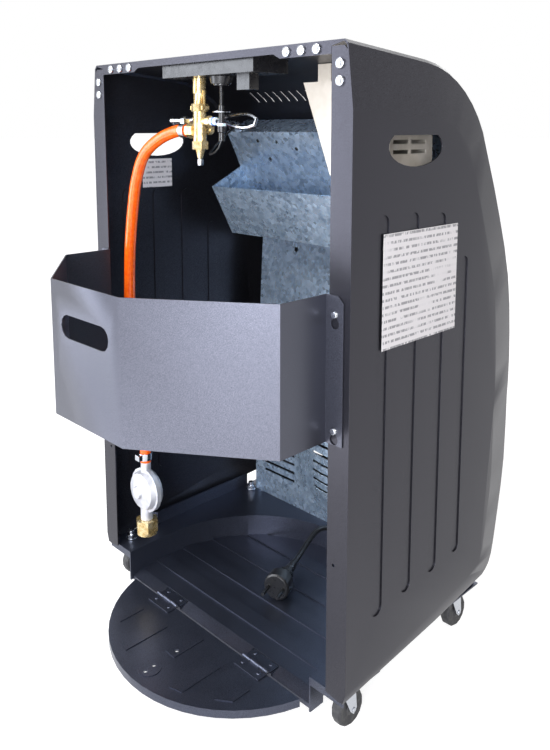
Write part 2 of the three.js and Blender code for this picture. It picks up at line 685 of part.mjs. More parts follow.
function baseTray() {
  const low = FLOOR_Z - TRAY_T;
  const lipLow = LIP_Z - 5;
  const outer = RECESS_R + TRAY_T;
  const deck = slab([
    [-DECK_X, DECK_BACK], [DECK_X, DECK_BACK], [DECK_X, DECK_STEP_D], [DECK_FRONT_X, DECK_STEP_D + 10],
    [DECK_FRONT_X, DECK_FRONT], [-DECK_FRONT_X, DECK_FRONT],
    [-DECK_FRONT_X, DECK_STEP_D + 10], [-DECK_X, DECK_STEP_D],
  ], DECK_Z - TRAY_T, DECK_Z);
  const wall = slab(recessOutline(outer, DECK_BACK), low, DECK_Z - 0.5);
  const hollow = slab(recessOutline(RECESS_R, -5), low - 5, DECK_Z + 5);
  const floor = slab(recessOutline(outer, LIP_D), low, FLOOR_Z);
  const lip = bar([
    [LIP_D + 1, low], [LIP_D + 1, FLOOR_Z], [LIP_D, FLOOR_Z], [LIP_BACK, LIP_Z], [LIP_BACK, lipLow],
    [LIP_BACK + TRAY_T, lipLow], [LIP_BACK + TRAY_T, LIP_Z - TRAY_T],
  ], -outer, outer);
  const cheeks = [-1, 1].map((s) => block(Math.min(s * RECESS_R, s * outer), Math.max(s * RECESS_R, s * outer),
    DECK_BACK, LIP_D + 2, lipLow, FLOOR_Z));
  const seats = HINGE_X.map((x) => block(x - HINGE_W / 2 - 1.5, x + HINGE_W / 2 + 1.5,
    LIP_BACK, LIP_D + 1, LIP_Z - 3, FLAP_Z));
  const pockets = HINGE_X.map((x) => block(x - HINGE_W / 2 - 1.5, x + HINGE_W / 2 + 1.5,
    LIP_BACK - 1, LEAF_IN + 0.8, FLAP_Z, FLOOR_Z + 3));
  const skirt = [-1, 1].map((s) => block(Math.min(s * RECESS_R, s * DECK_X), Math.max(s * RECESS_R, s * DECK_X),
    DECK_BACK, DECK_BACK + TRAY_T, 2 * WHEEL_R + 3, DECK_Z - 0.5));
  const upstand = block(-DECK_FRONT_X + 6, DECK_FRONT_X - 6, DECK_FRONT - TRAY_T, DECK_FRONT,
    DECK_Z - 0.5, FOOT_Z - SHEET - 2 * GAP);
  const face = DECK_FRONT_X - 1;
  const sides = [-1, 1].map((s) => slab([
    [s * (DECK_X - 4), DECK_STEP_D], [s * (DECK_X - 4 + TRAY_T), DECK_STEP_D], [s * face, DECK_STEP_D + 10],
    [s * face, SIDE_FLANGE_END], [s * (face - TRAY_T), SIDE_FLANGE_END], [s * (face - TRAY_T), DECK_STEP_D + 9],
  ], DECK_Z - 0.5, SIDE_FLANGE_Z));
  const shell = join(cut(join(deck, wall), hollow), floor, lip, ...cheeks, ...bands());
  const body = join(cut(join(shell, ...seats), ...pockets), ...skirt, upstand, ...sides);
  const holes = CASTERS.map(([, x, d]) => rod('z', STEM_R + GAP, 3 * TRAY_T, x, d, DECK_Z, 12));
  return cut(body, ...holes);
}

function bands() {
  const inside = slab(recessOutline(RECESS_R + 0.5, 0), FLOOR_Z - 1, FLOOR_Z + 5);
  const list = [];
  for (let d = CORRUGATION; d + BAND_W < RECESS_D + RECESS_R; d += CORRUGATION) {
    const raised = block(-RECESS_R - 3, RECESS_R + 3, d, d + BAND_W, FLOOR_Z - 0.5, FLOOR_Z + BAND_H);
    list.push(raised.intersect(inside));
  }
  return list;
}

const RACE_TOP = DECK_Z - TRAY_T - GAP;
const RACE_T = 2;
const CROWN_T = 2.6;
const CHEEK_IN = WHEEL_W / 2 + 0.9;
const CHEEK_T = 1.6;

function casterMount(x, d) {
  return join(
    rod('z', STEM_R, 14 + RACE_T, x, d, DECK_Z - TRAY_T + 6, 10),
    rod('z', 11, RACE_T, x, d, RACE_TOP - RACE_T / 2, 12),
    rod('z', 7.5, 1.4, x, d, DECK_Z + GAP + 0.7, 10),
    rod('z', 6.6, 5, x, d, DECK_Z + GAP + 3.6, 6),
  );
}

function casterFork(x, d) {
  const top = RACE_TOP - RACE_T - GAP;
  const crown = rod('z', 11.5, CROWN_T, x, d, top - CROWN_T / 2, 12);
  const axle = d + CASTER_TRAIL;
  const cheek = [
    [d - 9, top - CROWN_T / 2], [d - 9, top - CROWN_T - 2], [axle - 5, WHEEL_R], [axle, WHEEL_R - 5],
    [axle + 5, WHEEL_R], [d + 9, top - CROWN_T - 2], [d + 9, top - CROWN_T / 2],
  ];
  const cheeks = [-1, 1].map((s) => {
    const near = x + s * CHEEK_IN;
    const far = x + s * (CHEEK_IN + CHEEK_T);
    return bar(cheek, Math.min(near, far), Math.max(near, far));
  });
  const pin = rod('x', AXLE_R, 2 * (CHEEK_IN + CHEEK_T + 1), x, axle, WHEEL_R, 10);
  return join(crown, ...cheeks, pin);
}

function casterWheel(x, d) {
  const half = WHEEL_W / 2;
  const bore = AXLE_R + GAP;
  const profile = [
    [bore, -half], [6, -half], [7, -half + 1.2], [WHEEL_R - 2, -half + 0.3],
    [WHEEL_R, -half + 2.6], [WHEEL_R, half - 2.6], [WHEEL_R - 2, half - 0.3], [7, half - 1.2],
    [6, half], [bore, half], [bore, -half],
  ].map(([r, y]) => new THREE.Vector2(r, y));
  const g = new THREE.LatheGeometry(profile, 14);
  g.rotateZ(-Math.PI / 2);
  g.translate(x, -d - CASTER_TRAIL, WHEEL_R);
  return solid(g);
}

function casters() {
  CASTERS.forEach(([place, x, d]) => {
    piece(`caster_stem_${place}`, casterMount(x, d), MAT.steel);
    piece(`caster_fork_${place}`, casterFork(x, d), MAT.steel);
    piece(`caster_wheel_${place}`, casterWheel(x, d), MAT.rubber);
  });
}

// ---------------------------------------------------------------- bottle guard
function keyhole(x, z) {
  const through = 4 * THIN;
  return join(
    rod('y', KEY_SLOT / 2, through, x, -GAP, z, 12),
    block(x - KEY_SLOT / 2, x + KEY_SLOT / 2, -GAP - through / 2, -GAP + through / 2, z - KEY_DROP, z),
    rod('y', KEY_EYE / 2, through, x, -GAP, z - KEY_DROP, 14),
  );
}

function bottleGuard() {
  const side = GUARD_SIDE_X - THIN;
  const path = [
    [-GUARD_TAB_X, -GAP], [-side, -GAP], [-side, -GUARD_SIDE_OUT + THIN / 2],
    [-GUARD_FRONT_X, -GUARD_OUT + THIN], [GUARD_FRONT_X, -GUARD_OUT + THIN],
    [side, -GUARD_SIDE_OUT + THIN / 2], [side, -GAP], [GUARD_TAB_X, -GAP],
  ];
  const body = slab(bentOutline(path, -THIN), GUARD_LOW, GUARD_LOW + GUARD_H);
  const grip = slotCutter(0, GRIP_Z, GRIP_W, GRIP_H, -GUARD_OUT - 5, -GUARD_OUT + 5);
  const keys = [-1, 1].flatMap((s) => KEY_Z.map((z) => keyhole(s * KEY_X, z)));
  const corners = [-1, 1].map((s) => plate([
    [s * (GUARD_TAB_X + 1), GUARD_LOW + GUARD_H + 1], [s * (GUARD_TAB_X - 8), GUARD_LOW + GUARD_H + 1],
    [s * (GUARD_TAB_X - 5), GUARD_LOW + GUARD_H - 1.5], [s * (GUARD_TAB_X - 1.5), GUARD_LOW + GUARD_H - 5],
    [s * (GUARD_TAB_X + 1), GUARD_LOW + GUARD_H - 8],
  ], -5, 2));
  return cut(body, grip, ...keys, ...corners);
}

function guardScrew(x, z) {
  const shank = SHEET + GAP + THIN + GAP;
  const mid = SHEET / 2 - (GAP + THIN + GAP) / 2;
  return join(
    rod('y', KEY_SLOT / 2 - GAP, shank, x, mid, z, 12),
    rod('y', KEY_HEAD_R, 2.2, x, -GAP - THIN - GAP - 1.1, z, 12, KEY_HEAD_R - 1),
  );
}

function guardScrews() {
  ['left', 'right'].forEach((side, i) => KEY_Z.forEach((z, k) => {
    piece(`guard_screw_${side}_${k ? 'low' : 'high'}`, guardScrew((2 * i - 1) * KEY_X, z), MAT.steel);
  }));
}

// ---------------------------------------------------------------- flap
function flapOutline(inset) {
  const centre = FLAP_R - FLAP_OUT;
  const r = FLAP_R - inset;
  const start = Math.asin((centre - FLAP_EDGE) / r);
  const points = [];
  const steps = 22;
  for (let k = 0; k <= steps; k += 1) {
    const a = mix(start, Math.PI - start, k / steps);
    points.push([r * Math.cos(a), centre - r * Math.sin(a)]);
  }
  return points;
}

function flapPlate() {
  const skirt = cut(slab(flapOutline(0), FLAP_Z - FLAP_SKIRT, FLAP_Z - SHEET / 2),
    slab(flapOutline(SHEET), FLAP_Z - FLAP_SKIRT - 1, FLAP_Z),
    block(-FLAP_R, FLAP_R, FLAP_EDGE - 0.01, FLAP_EDGE + 1, 0, FLAP_Z));
  const top = slab(flapOutline(0), FLAP_Z - SHEET, FLAP_Z);
  const raised = [
    [[-103, -27], [-87, -27], [-87, -61], [-103, -50]],
    [[-56, -27], [-40, -27], [-40, -84], [-56, -79]],
    [[-8, -11], [8, -11], [8, -53], [-8, -53]],
    [[40, -27], [56, -27], [56, -79], [40, -84]],
    [[87, -27], [103, -27], [103, -50], [87, -61]],
  ].map((outline) => slab(outline, FLAP_Z - 0.5, FLAP_Z + 1));
  const boss = rod('z', 13, 1.5, -2, -82, FLAP_Z + 0.25, 20);
  const holes = [[-2, -76], [-3, -88], [-1, -44]].map(([x, d]) => rod('z', 2.6, 8, x, d, FLAP_Z, 8));
  return cut(join(top, skirt, ...raised, boss), ...holes);
}

const LEAF_T = 1.2;
const LEAF_Z = FLAP_Z + GAP;
const HINGE_Z = LEAF_Z + KNUCKLE_R;

function flapLeaf(x) {
  const wing = block(x - HINGE_W / 2, x + HINGE_W / 2, -LEAF_OUT, HINGE_D - KNUCKLE_R - 0.6, LEAF_Z, LEAF_Z + LEAF_T);
  const neck = block(x - 7, x + 7, -2, HINGE_D, LEAF_Z, LEAF_Z + LEAF_T);
  const knuckle = rod('x', KNUCKLE_R, 14, x, HINGE_D, HINGE_Z, 10);
  return cut(join(wing, neck, knuckle), rod('x', PIN_R + 0.35, 16, x, HINGE_D, HINGE_Z, 8));
}

function baseLeaf(x) {
  const wing = block(x - HINGE_W / 2, x + HINGE_W / 2, HINGE_D + KNUCKLE_R + 0.6, LEAF_IN, LEAF_Z, LEAF_Z + LEAF_T);
  const length = HINGE_W / 2 - 7 - GAP;
  const parts = [-1, 1].flatMap((s) => {
    const mid = x + s * (7 + GAP + length / 2);
    return [
      block(mid - length / 2, mid + length / 2, HINGE_D, LEAF_IN - 5, LEAF_Z, LEAF_Z + LEAF_T),
      rod('x', KNUCKLE_R, length, mid, HINGE_D, HINGE_Z, 10),
    ];
  });
  return cut(join(wing, ...parts), rod('x', PIN_R + 0.35, HINGE_W + 2, x, HINGE_D, HINGE_Z, 8));
}

function leafScrews(x, d) {
  return [-1, 1].map((s) => rod('z', LEAF_SCREW_R, LEAF_T + 1,
    x + s * LEAF_HOLE_X, d, LEAF_Z + LEAF_T / 2 + 0.6, 8, LEAF_SCREW_R - 0.8));
}

function flapAndHinges() {
  piece('bottle_flap', flapPlate(), MAT.base);
  ['left', 'right'].forEach((side, i) => {
    const x = HINGE_X[i];
    piece(`flap_leaf_${side}`, join(flapLeaf(x), ...leafScrews(x, -4.2)), MAT.base);
    piece(`base_leaf_${side}`, join(baseLeaf(x), ...leafScrews(x, 14.8)), MAT.base);
    piece(`hinge_pin_${side}`, rod('x', PIN_R, HINGE_W, x, HINGE_D, HINGE_Z, 8), MAT.steel);
  });
}

// ---------------------------------------------------------------- heat shields
const SLOT_PITCH = 12.7;
const SLOT_H = 3.8;

function lowerShield() {
  const wall = block(-SHIELD_X, SHIELD_X, SHIELD_D, SHIELD_D + THIN, DECK_Z + GAP, SHIELD_SPLIT_Z);
  const outer = domeCap(DOME_R, DOME_OUT, THIN / 2);
  const inner = domeCap(DOME_R - 1.5 * THIN, DOME_OUT - THIN, 3 * THIN);
  return cut(join(wall, outer), inner, ...shieldSlots());
}

// A spherical cap that rises from the shield's back face, with its foot carried on to the given depth.
function domeCap(r, rise, foot) {
  const sphere = (r ** 2 + rise ** 2) / (2 * rise);
  const reach = Math.asin(r / sphere);
  const arc = [1, 2, 3, 4].map((i) => reach * i / 4)
    .map((a) => [sphere * Math.sin(a), sphere * Math.cos(a) - sphere + rise]);
  const profile = [[0, -foot], [r, -foot], ...arc.reverse(), [0, rise], [0, -foot]];
  const g = new THREE.LatheGeometry(profile.map(([u, v]) => new THREE.Vector2(u, v)), 24);
  g.translate(0, -SHIELD_D, DOME_Z);
  return solid(g);
}

function shieldSlots() {
  const slot = (x0, x1, z, d0) => block(x0, x1, d0, SHIELD_D + 5, z - SLOT_H / 2, z + SLOT_H / 2);
  const sides = Array.from({ length: 7 }, (_, k) => 88.3 + k * SLOT_PITCH)
    .flatMap((z) => [slot(-155, -93, z, SHIELD_D - 3), slot(93, 155, z, SHIELD_D - 3)]);
  const middle = Array.from({ length: 6 }, (_, k) => 107 + k * SLOT_PITCH)
    .map((z) => slot(-40, 40, z, SHIELD_D - DOME_OUT - 5));
  return [...sides, ...middle];
}

function upperShield() {
  const start = SHIELD_D + THIN + GAP;
  const path = [[start, SHIELD_SPLIT_Z - 12], [start + 5, 300], [start + 13, SHIELD_TOP_Z]];
  const body = bar(bentOutline(path, -THIN), -SHIELD_X + 1, SHIELD_X - 1);
  return cut(body, rod('y', 4, 20, 105, SHIELD_D + 12, 430, 10), rod('y', 4, 20, -105, SHIELD_D + 12, 430, 10));
}

// ---------------------------------------------------------------- burner
const HOOD_DIR = (() => {
  const [d0, z0] = HOOD.crease;
  const [d1, z1] = HOOD.foot;
  const l = Math.hypot(d1 - d0, z1 - z0);
  return { along: [(d1 - d0) / l, (z1 - z0) / l], out: [(z0 - z1) / l, (d1 - d0) / l] };
})();

// A point in the hood's section: run down the sheet from its crease, off towards the front.
function hoodPoint(run, off) {
  return [
    HOOD.crease[0] + HOOD_DIR.along[0] * run + HOOD_DIR.out[0] * off,
    HOOD.crease[1] + HOOD_DIR.along[1] * run + HOOD_DIR.out[1] * off,
  ];
}

// Points just inside the front panel between two heights.
function insideFront(z0, z1, steps) {
  return Array.from({ length: steps + 1 }, (_, i) => {
    const s = stationAt(mix(z0, z1, i / steps));
    const off = SHEET + GAP;
    return [s.d - off * s.n[0], s.z - off * s.n[1]];
  });
}

function burnerHood() {
  const skin = bar(bentOutline([HOOD.roof, HOOD.ridge, HOOD.crease, HOOD.foot], THIN), -HOOD_X, HOOD_X);
  const top = stationAt(HOOD.roof[1] - 22);
  const cheek = [
    HOOD.roof, HOOD.ridge, HOOD.crease, HOOD.foot,
    ...insideFront(HOOD.foot[1] - 3, top.z, 6),
  ];
  const cheeks = [-1, 1].map((s) => bar(cheek, Math.min(s * HOOD_X, s * (HOOD_X - THIN)),
    Math.max(s * HOOD_X, s * (HOOD_X - THIN))));
  const ledge = bentOutline([
    TRAY_LIP, TRAY_FOOT, [HOOD.foot[0] + 1, TRAY_FOOT[1] - 0.8],
  ], THIN);
  const shelf = bar(ledge, -HOOD_X, HOOD_X);
  const gusset = [TRAY_LIP, TRAY_FOOT, [HOOD.foot[0], TRAY_FOOT[1]], HOOD.foot, HOOD.crease];
  const ends = [-1, 1].map((s) => bar(gusset, Math.min(s * HOOD_X, s * (HOOD_X - THIN)),
    Math.max(s * HOOD_X, s * (HOOD_X - THIN))));
  const body = join(skin, ...cheeks, shelf, ...ends);
  const holes = [[120, 606], [62, 592]].flatMap(([x, z]) => [-1, 1].map((s) => rod('y', 2.4, 60,
    s * x, HOOD.ridge[0] + 12, z - 8, 8)));
  return cut(body, ...holes);
}

function burnerBox() {
  const outer = [hoodPoint(1, BURNER_OFF), hoodPoint(95, BURNER_OFF),
    hoodPoint(95, BURNER_OFF + BURNER_T), hoodPoint(1, BURNER_OFF + BURNER_T)];
  const inner = [hoodPoint(1 + SHEET, BURNER_OFF + SHEET), hoodPoint(95 - SHEET, BURNER_OFF + SHEET),
    hoodPoint(95 - SHEET, BURNER_OFF + BURNER_T + 2), hoodPoint(1 + SHEET, BURNER_OFF + BURNER_T + 2)];
  const shell = cut(bar(outer, -BURNER_X, BURNER_X), bar(inner, -BURNER_X + SHEET, BURNER_X - SHEET));
  const ledges = [-1, 1].map((s) => {
    const a = s * (BURNER_X - SHEET - 6);
    const b = s * (BURNER_X - SHEET / 2);
    return bar([hoodPoint(2, BURNER_OFF + 1), hoodPoint(94, BURNER_OFF + 1),
      hoodPoint(94, BURNER_OFF + BURNER_T - PLAQUE_T - GAP),
      hoodPoint(2, BURNER_OFF + BURNER_T - PLAQUE_T - GAP)], Math.min(a, b), Math.max(a, b));
  });
  const feet = [-1, 1].map((s) => {
    const a = s * (BURNER_X - 1);
    const b = s * (HOOD_X - THIN - GAP);
    return bar([hoodPoint(20, BURNER_OFF + 2), hoodPoint(76, BURNER_OFF + 2),
      hoodPoint(76, BURNER_OFF + 2 + SHEET), hoodPoint(20, BURNER_OFF + 2 + SHEET)],
    Math.min(a, b), Math.max(a, b));
  });
  return join(shell, ...ledges, ...feet);
}

// The plaques stand side by side with a shallow joint between them.
function ceramicPlaques() {
  const reach = BURNER_X - SHEET - GAP;
  const low = 95 - SHEET - GAP;
  const high = 1 + SHEET + GAP;
  const face = BURNER_OFF + BURNER_T;
  const body = bar([hoodPoint(high, face - PLAQUE_T), hoodPoint(low, face - PLAQUE_T),
    hoodPoint(low, face), hoodPoint(high, face)], -reach, reach);
  const joints = [1, 2].map((i) => {
    const x = -reach + (2 * reach * i) / PLAQUES;
    return bar([hoodPoint(high - 5, face - 2.5), hoodPoint(low + 5, face - 2.5),
      hoodPoint(low + 5, face + 5), hoodPoint(high - 5, face + 5)], x - 0.8, x + 0.8);
  });
  return cut(body, ...joints);
}

function pilotAssembly() {
  const at = hoodPoint(98, BURNER_OFF + BURNER_T + 5);
  const foot = bar([hoodPoint(95 + GAP, BURNER_OFF + 2), hoodPoint(95 + GAP + SHEET, BURNER_OFF + 2),
    hoodPoint(95 + GAP + SHEET, BURNER_OFF + BURNER_T + 6), hoodPoint(95 + GAP, BURNER_OFF + BURNER_T + 6)],
  -18, 18);
  const electrode = rod('z', 1.6, 18, -9, at[0], at[1] + 8, 8);
  const sensor = rod('z', 1.6, 18, 9, at[0], at[1] + 8, 8);
  const jet = rod('z', 3.4, 11, 0, at[0], at[1] + 5, 10);
  return join(foot, electrode, sensor, jet);
}

const GUARD_WIRES = 9;
const WIRE_T = 2;
const GUARD_STAND = 13;            // wires in front of the panel

function wireGuard() {
  const z0 = WINDOW_Z[0] - 12;
  const z1 = WINDOW_Z[1] + 10;
  const at = (z, off) => {
    const s = stationAt(z);
    return [s.d + off * s.n[0], s.z + off * s.n[1]];
  };
  const path = [
    at(z0, GAP), at(z0 + 1, GUARD_STAND - 3), at(z0 + 6, GUARD_STAND), at(mix(z0, z1, 0.35), GUARD_STAND),
    at(mix(z0, z1, 0.68), GUARD_STAND), at(z1 - 6, GUARD_STAND), at(z1 - 1, GUARD_STAND - 3), at(z1, GAP),
  ];
  const wires = Array.from({ length: GUARD_WIRES }, (_, i) => {
    const x = mix(-WINDOW_X - 5, WINDOW_X + 5, i / (GUARD_WIRES - 1));
    return bar(bentOutline(path, -WIRE_T), x - WIRE_T / 2, x + WIRE_T / 2);
  });
  const rails = path.slice(2, 6).map(([d, h]) => {
    return rod('x', WIRE_T * 0.8, 2 * WINDOW_X + 14, 0, d, h, 6);
  });
  return joinAll([...wires, ...rails]);
}

// ---------------------------------------------------------------- fan
const FAN_D = 273;
const FAN_R = 58;
const FAN_HUB_R = 13;
const FAN_BLADES = 5;
const MOTOR_R = 20;

function fanMotor() {
  const face = SHIELD_D + THIN + GAP;
  const strap = cut(
    block(-8, 8, face, face + 1.5, DOME_Z - DOME_R + 3, SHIELD_SPLIT_Z - 14),
    rod('y', 2, 8, 0, face, DOME_Z + 39, 8),
  );
  const can = rod('y', MOTOR_R, 15, 0, face + 8.2, DOME_Z, 18);
  const bearing = rod('y', 6, 3, 0, face + 16.5, DOME_Z, 12);
  const shaft = rod('y', 2.4, 23, 0, FAN_D - 5.5, DOME_Z, 12);
  return join(strap, can, bearing, shaft);
}

function fanImpeller() {
  const hub = rod('y', FAN_HUB_R, 16, 0, FAN_D + 1, DOME_Z, 20);
  const bore = rod('y', 2.4 + GAP, 26, 0, FAN_D - 5, DOME_Z, 12);
  const blades = Array.from({ length: FAN_BLADES }, (_, i) => {
    const g = new THREE.BoxGeometry(FAN_R - FAN_HUB_R + 3, 1.6, 24);
    g.translate((FAN_R + FAN_HUB_R - 3) / 2, 0, 0);
    g.rotateX(rad(55));
    g.rotateY((i / FAN_BLADES) * 2 * Math.PI);
    g.translate(0, -FAN_D - 1, DOME_Z);
    return solid(g);
  });
  return cut(join(hub, ...blades), bore);
}

// ---------------------------------------------------------------- controls
const WELL_FLOOR = HEIGHT - 19;

function controlBezel() {
  const x = BEZEL.w / 2;
  const near = BEZEL.d - BEZEL.l / 2;
  const far = BEZEL.d + BEZEL.l / 2;
  const roofLine = (d, up) => [d, HEIGHT - ROOF_FALL * d / ROOF_RUN + up];
  const rim = bar([roofLine(near - 2.5, GAP), roofLine(near - 2.5, GAP + 1),
    roofLine(far + 3, GAP + 1), roofLine(far + 3, GAP)], -x - 3, x + 3);
  const tub = block(-x, x, near, far, WELL_FLOOR - BEZEL.wall, HEIGHT - 5);
  const neck = bar([roofLine(near, -6), roofLine(near, GAP + 0.5), roofLine(far, GAP + 0.5),
    roofLine(far, -6)], -x, x);
  const hollow = block(-x + BEZEL.wall, x - BEZEL.wall, near + BEZEL.wall, far - BEZEL.wall,
    WELL_FLOOR, HEIGHT + 9);
  const body = cut(join(tub, neck, rim), hollow);
  return cut(body,
    rod('z', 5.5, 12, VALVE_X, VALVE_D, WELL_FLOOR, 16),
    rod('z', 9, 12, PIEZO_X, VALVE_D, WELL_FLOOR, 16),
    block(SWITCH_X - 10, SWITCH_X + 10, VALVE_D - 7, VALVE_D + 7, WELL_FLOOR - 6, WELL_FLOOR + 6));
}

function gasKnob() {
  const base = WELL_FLOOR + 3.4;
  const body = rod('z', KNOB_R, KNOB_H, VALVE_X, VALVE_D, base + KNOB_H / 2, 28, KNOB_R - 1.5);
  const pointer = block(VALVE_X - 2.5, VALVE_X + 2.5, VALVE_D - KNOB_R + 1, VALVE_D + KNOB_R - 1,
    base + 4, base + KNOB_H + 1.4);
  const socket = rod('z', 4.4, 3, VALVE_X, VALVE_D, base + 0.5, 16);
  const hollow = rod('z', 2.6 + GAP, 9, VALVE_X, VALVE_D, base + 1, 12);
  return cut(join(body, pointer, socket), hollow);
}

function valveBody() {
  const part = (r, z0, z1, sides = 10, r2 = r) =>
    rod('z', r, z1 - z0, VALVE_X, VALVE_D, (z0 + z1) / 2, sides, r2);
  const stack = [
    part(1.6, 560, 570), part(3, 568, 579, 12, 6), part(9.6, 578, 587, 6), part(7.5, 586, 623),
    part(9.5, 620, 628.5, 8), part(6, 628, 641), part(7.5, 640, WELL_FLOOR - BEZEL.wall - GAP, 16),
  ];
  const posts = [-1, 1].map((s) => rod('z', 1.6, 20, VALVE_X + s * 8, VALVE_D, 633, 8));
  const shoulder = block(VALVE_X - 10.5, VALVE_X + 10.5, VALVE_D - 5, VALVE_D + 5, 622, 626);
  const hosePort = [
    rod('x', 5.5, 12, VALVE_X + 8, VALVE_D, VALVE_Z, 12),
    rod('x', 9, 12, VALVE_X + 11, VALVE_D - 1, VALVE_Z, 6),
  ];
  const cap = [
    rod('x', 4.6, 16, VALVE_X + 9, VALVE_D + 11, VALVE_Z + 11.5, 12),
    rod('x', 6, 7, VALVE_X + 16.5, VALVE_D + 11, VALVE_Z + 11.5, 6),
  ];
  const ports = [
    rod('x', 4, 16, VALVE_X - 11, VALVE_D, 609, 12), rod('x', 6, 6, VALVE_X - 17, VALVE_D, 609, 6),
    rod('y', 4, 14, VALVE_X, VALVE_D + 9, 600, 12), rod('y', 6, 5, VALVE_X, VALVE_D + 14, 600, 6),
  ];
  const body = joinAll([...stack, ...posts, shoulder, ...hosePort, ...cap, ...ports]);
  return cut(body, rod('z', 3.2, 65, VALVE_X, VALVE_D, 657.5, 12));
}

function valveSpindle() {
  return rod('z', 2.6, 38, VALVE_X, VALVE_D, WELL_FLOOR - 10.5, 12);
}

function piezo() {
  const low = WELL_FLOOR - BEZEL.wall;
  const body = join(
    rod('z', 8.6, BEZEL.wall + 10, PIEZO_X, VALVE_D, low - 4, 16),
    rod('z', 13, 3, PIEZO_X, VALVE_D, WELL_FLOOR + GAP + 1.5, 18),
    rod('z', 11, 8, PIEZO_X, VALVE_D, low - GAP - 4, 18, 13),
    rod('z', 8.6, 5, PIEZO_X, VALVE_D, WELL_FLOOR, 16),
    rod('z', 2, 24, PIEZO_X, VALVE_D, low - 20, 8),
    rod('z', 3.4, 26, PIEZO_X, VALVE_D, low - 44, 10),
  );
  return cut(body, rod('z', 6.3, 16, PIEZO_X, VALVE_D, WELL_FLOOR + 1, 16));
}

function piezoButton() {
  return join(
    rod('z', 6, 10, PIEZO_X, VALVE_D, WELL_FLOOR + 2.5, 16),
    rod('z', 7.8, 5, PIEZO_X, VALVE_D, WELL_FLOOR + 9.6, 16, 7),
  );
}

function fanSwitch() {
  const low = WELL_FLOOR - BEZEL.wall;
  const body = join(
    block(SWITCH_X - 9.7, SWITCH_X + 9.7, VALVE_D - 6.7, VALVE_D + 6.7, low - 16, WELL_FLOOR + 1),
    block(SWITCH_X - 12, SWITCH_X + 12, VALVE_D - 9, VALVE_D + 9, WELL_FLOOR + GAP, WELL_FLOOR + 2.3),
  );
  return cut(body, block(SWITCH_X - 7.8, SWITCH_X + 7.8, VALVE_D - 5, VALVE_D + 5,
    WELL_FLOOR - 7, WELL_FLOOR + 4));
}

function fanRocker() {
  const z = WELL_FLOOR + 0.5;
  return bar([[VALVE_D - 4, z + 4.2], [VALVE_D - 2.6, z - 2.5], [VALVE_D, z - 4], [VALVE_D + 2.6, z - 2.5],
    [VALVE_D + 4, z + 2.6], [VALVE_D, z + 2.2]], SWITCH_X - 7.4, SWITCH_X + 7.4);
}

// A sheet-metal box for the fan's wiring hangs from the roof in the corner beside the left handle hole.
const WIRE_BOX = { outer: -182, low: 552, high: 650, lowX: -105, highX: -66, d0: 90, d1: 164 };

function wiringBox() {
  const b = WIRE_BOX;
  const outline = (t) => [
    [b.outer + t, b.low + t], [b.lowX - t, b.low + t], [b.highX - t, b.high - t], [b.outer + t, b.high - t],
  ];
  const shell = cut(plate(outline(0), b.d0, b.d1), plate(outline(SHEET), b.d0 + SHEET, b.d1 - SHEET));
  const slots = [588, 578].flatMap((z) => [0, 1].map((k) => block(b.outer - 2, b.outer + 4,
    b.d0 + 6 + k * 30, b.d0 + 32 + k * 30, z - 2, z + 2)));
  const roofInside = (d) => HEIGHT - ROOF_FALL * d / ROOF_RUN - SHEET - 2 * GAP;
  const hangers = [b.outer + 20, b.highX - 30].map((x) => bar([
    [b.d0, b.high - 1], [b.d0 + SHEET, b.high - 1], [b.d0 + SHEET, roofInside(b.d0) - SHEET],
    [b.d0 + 16, roofInside(b.d0 + 16) - SHEET], [b.d0 + 16, roofInside(b.d0 + 16)],
    [b.d0, roofInside(b.d0)],
  ], x - 9, x + 9));
  return join(cut(shell, ...slots), ...hangers);
}

// ---------------------------------------------------------------- gas line
const FEED_R = 2;
const FEED = [
  [VALVE_X - 20.9, 30, 609], [9, 30.5, 608.8], [2, 37, 607], [-6, 39, 604.5], [-14, 38.5, 603], [-32, 37, 602],
  [-44, 37, 604], [-49, 38, 608], [-44, 40, 613], [-30, 42, 616], [0, 48, 616], [30, 60, 613], [80, 110, 609], [118, 148, 611],
  [132, 166, 611], [136, 180, 607.2],
];
const HOSE_RUN = [
  [VALVE_X + 17.6, 29, 599], [64, 29, 599], [74, 28.5, 598.8], [101, 23, 590], [130, 20, 571], [148, 20, 541], [158, 20, 504],
  [165, 19, 453], [169, 19, 400], [170, 19, 340], [165, 19, 280], [153, 19, 232], [145, 19, 208],
  [143, 19, 194], [143, 19, 184], [143, 19, 176],
];
const REGULATOR = { x: 143, d: 19, z: 138, r: 29, t: 22 };

// The aluminium feed pipe ends in a boss on the sloping top of the hood.
function feedPipe() {
  const along = [HOOD.roof[0] - HOOD.ridge[0], HOOD.roof[1] - HOOD.ridge[1]];
  const l = Math.hypot(...along);
  const slope = (run, off) => [
    HOOD.ridge[0] + (along[0] * run - along[1] * off) / l, HOOD.ridge[1] + (along[1] * run + along[0] * off) / l,
  ];
  const boss = bar([slope(8, GAP), slope(20, GAP), slope(20, 7), slope(8, 7)], 130, 142);
  return join(solid(tube(FEED, FEED_R, 6, 34)), boss);
}

function clampRing(axis, x, d, z) {
  const band = rod(axis, HOSE_R + GAP + 1.4, 9, x, d, z, 18);
  const hole = rod(axis, HOSE_R + GAP + 0.2, 12, x, d, z, 18);
  const lug = axis === 'x'
    ? block(x - 3.5, x + 3.5, d - 4.5, d + 4.5, z + HOSE_R + 1, z + HOSE_R + 6)
    : block(x - 4.5, x + 4.5, d - HOSE_R - 6, d - HOSE_R - 1, z - 3.5, z + 3.5);
  return cut(join(band, lug), hole);
}

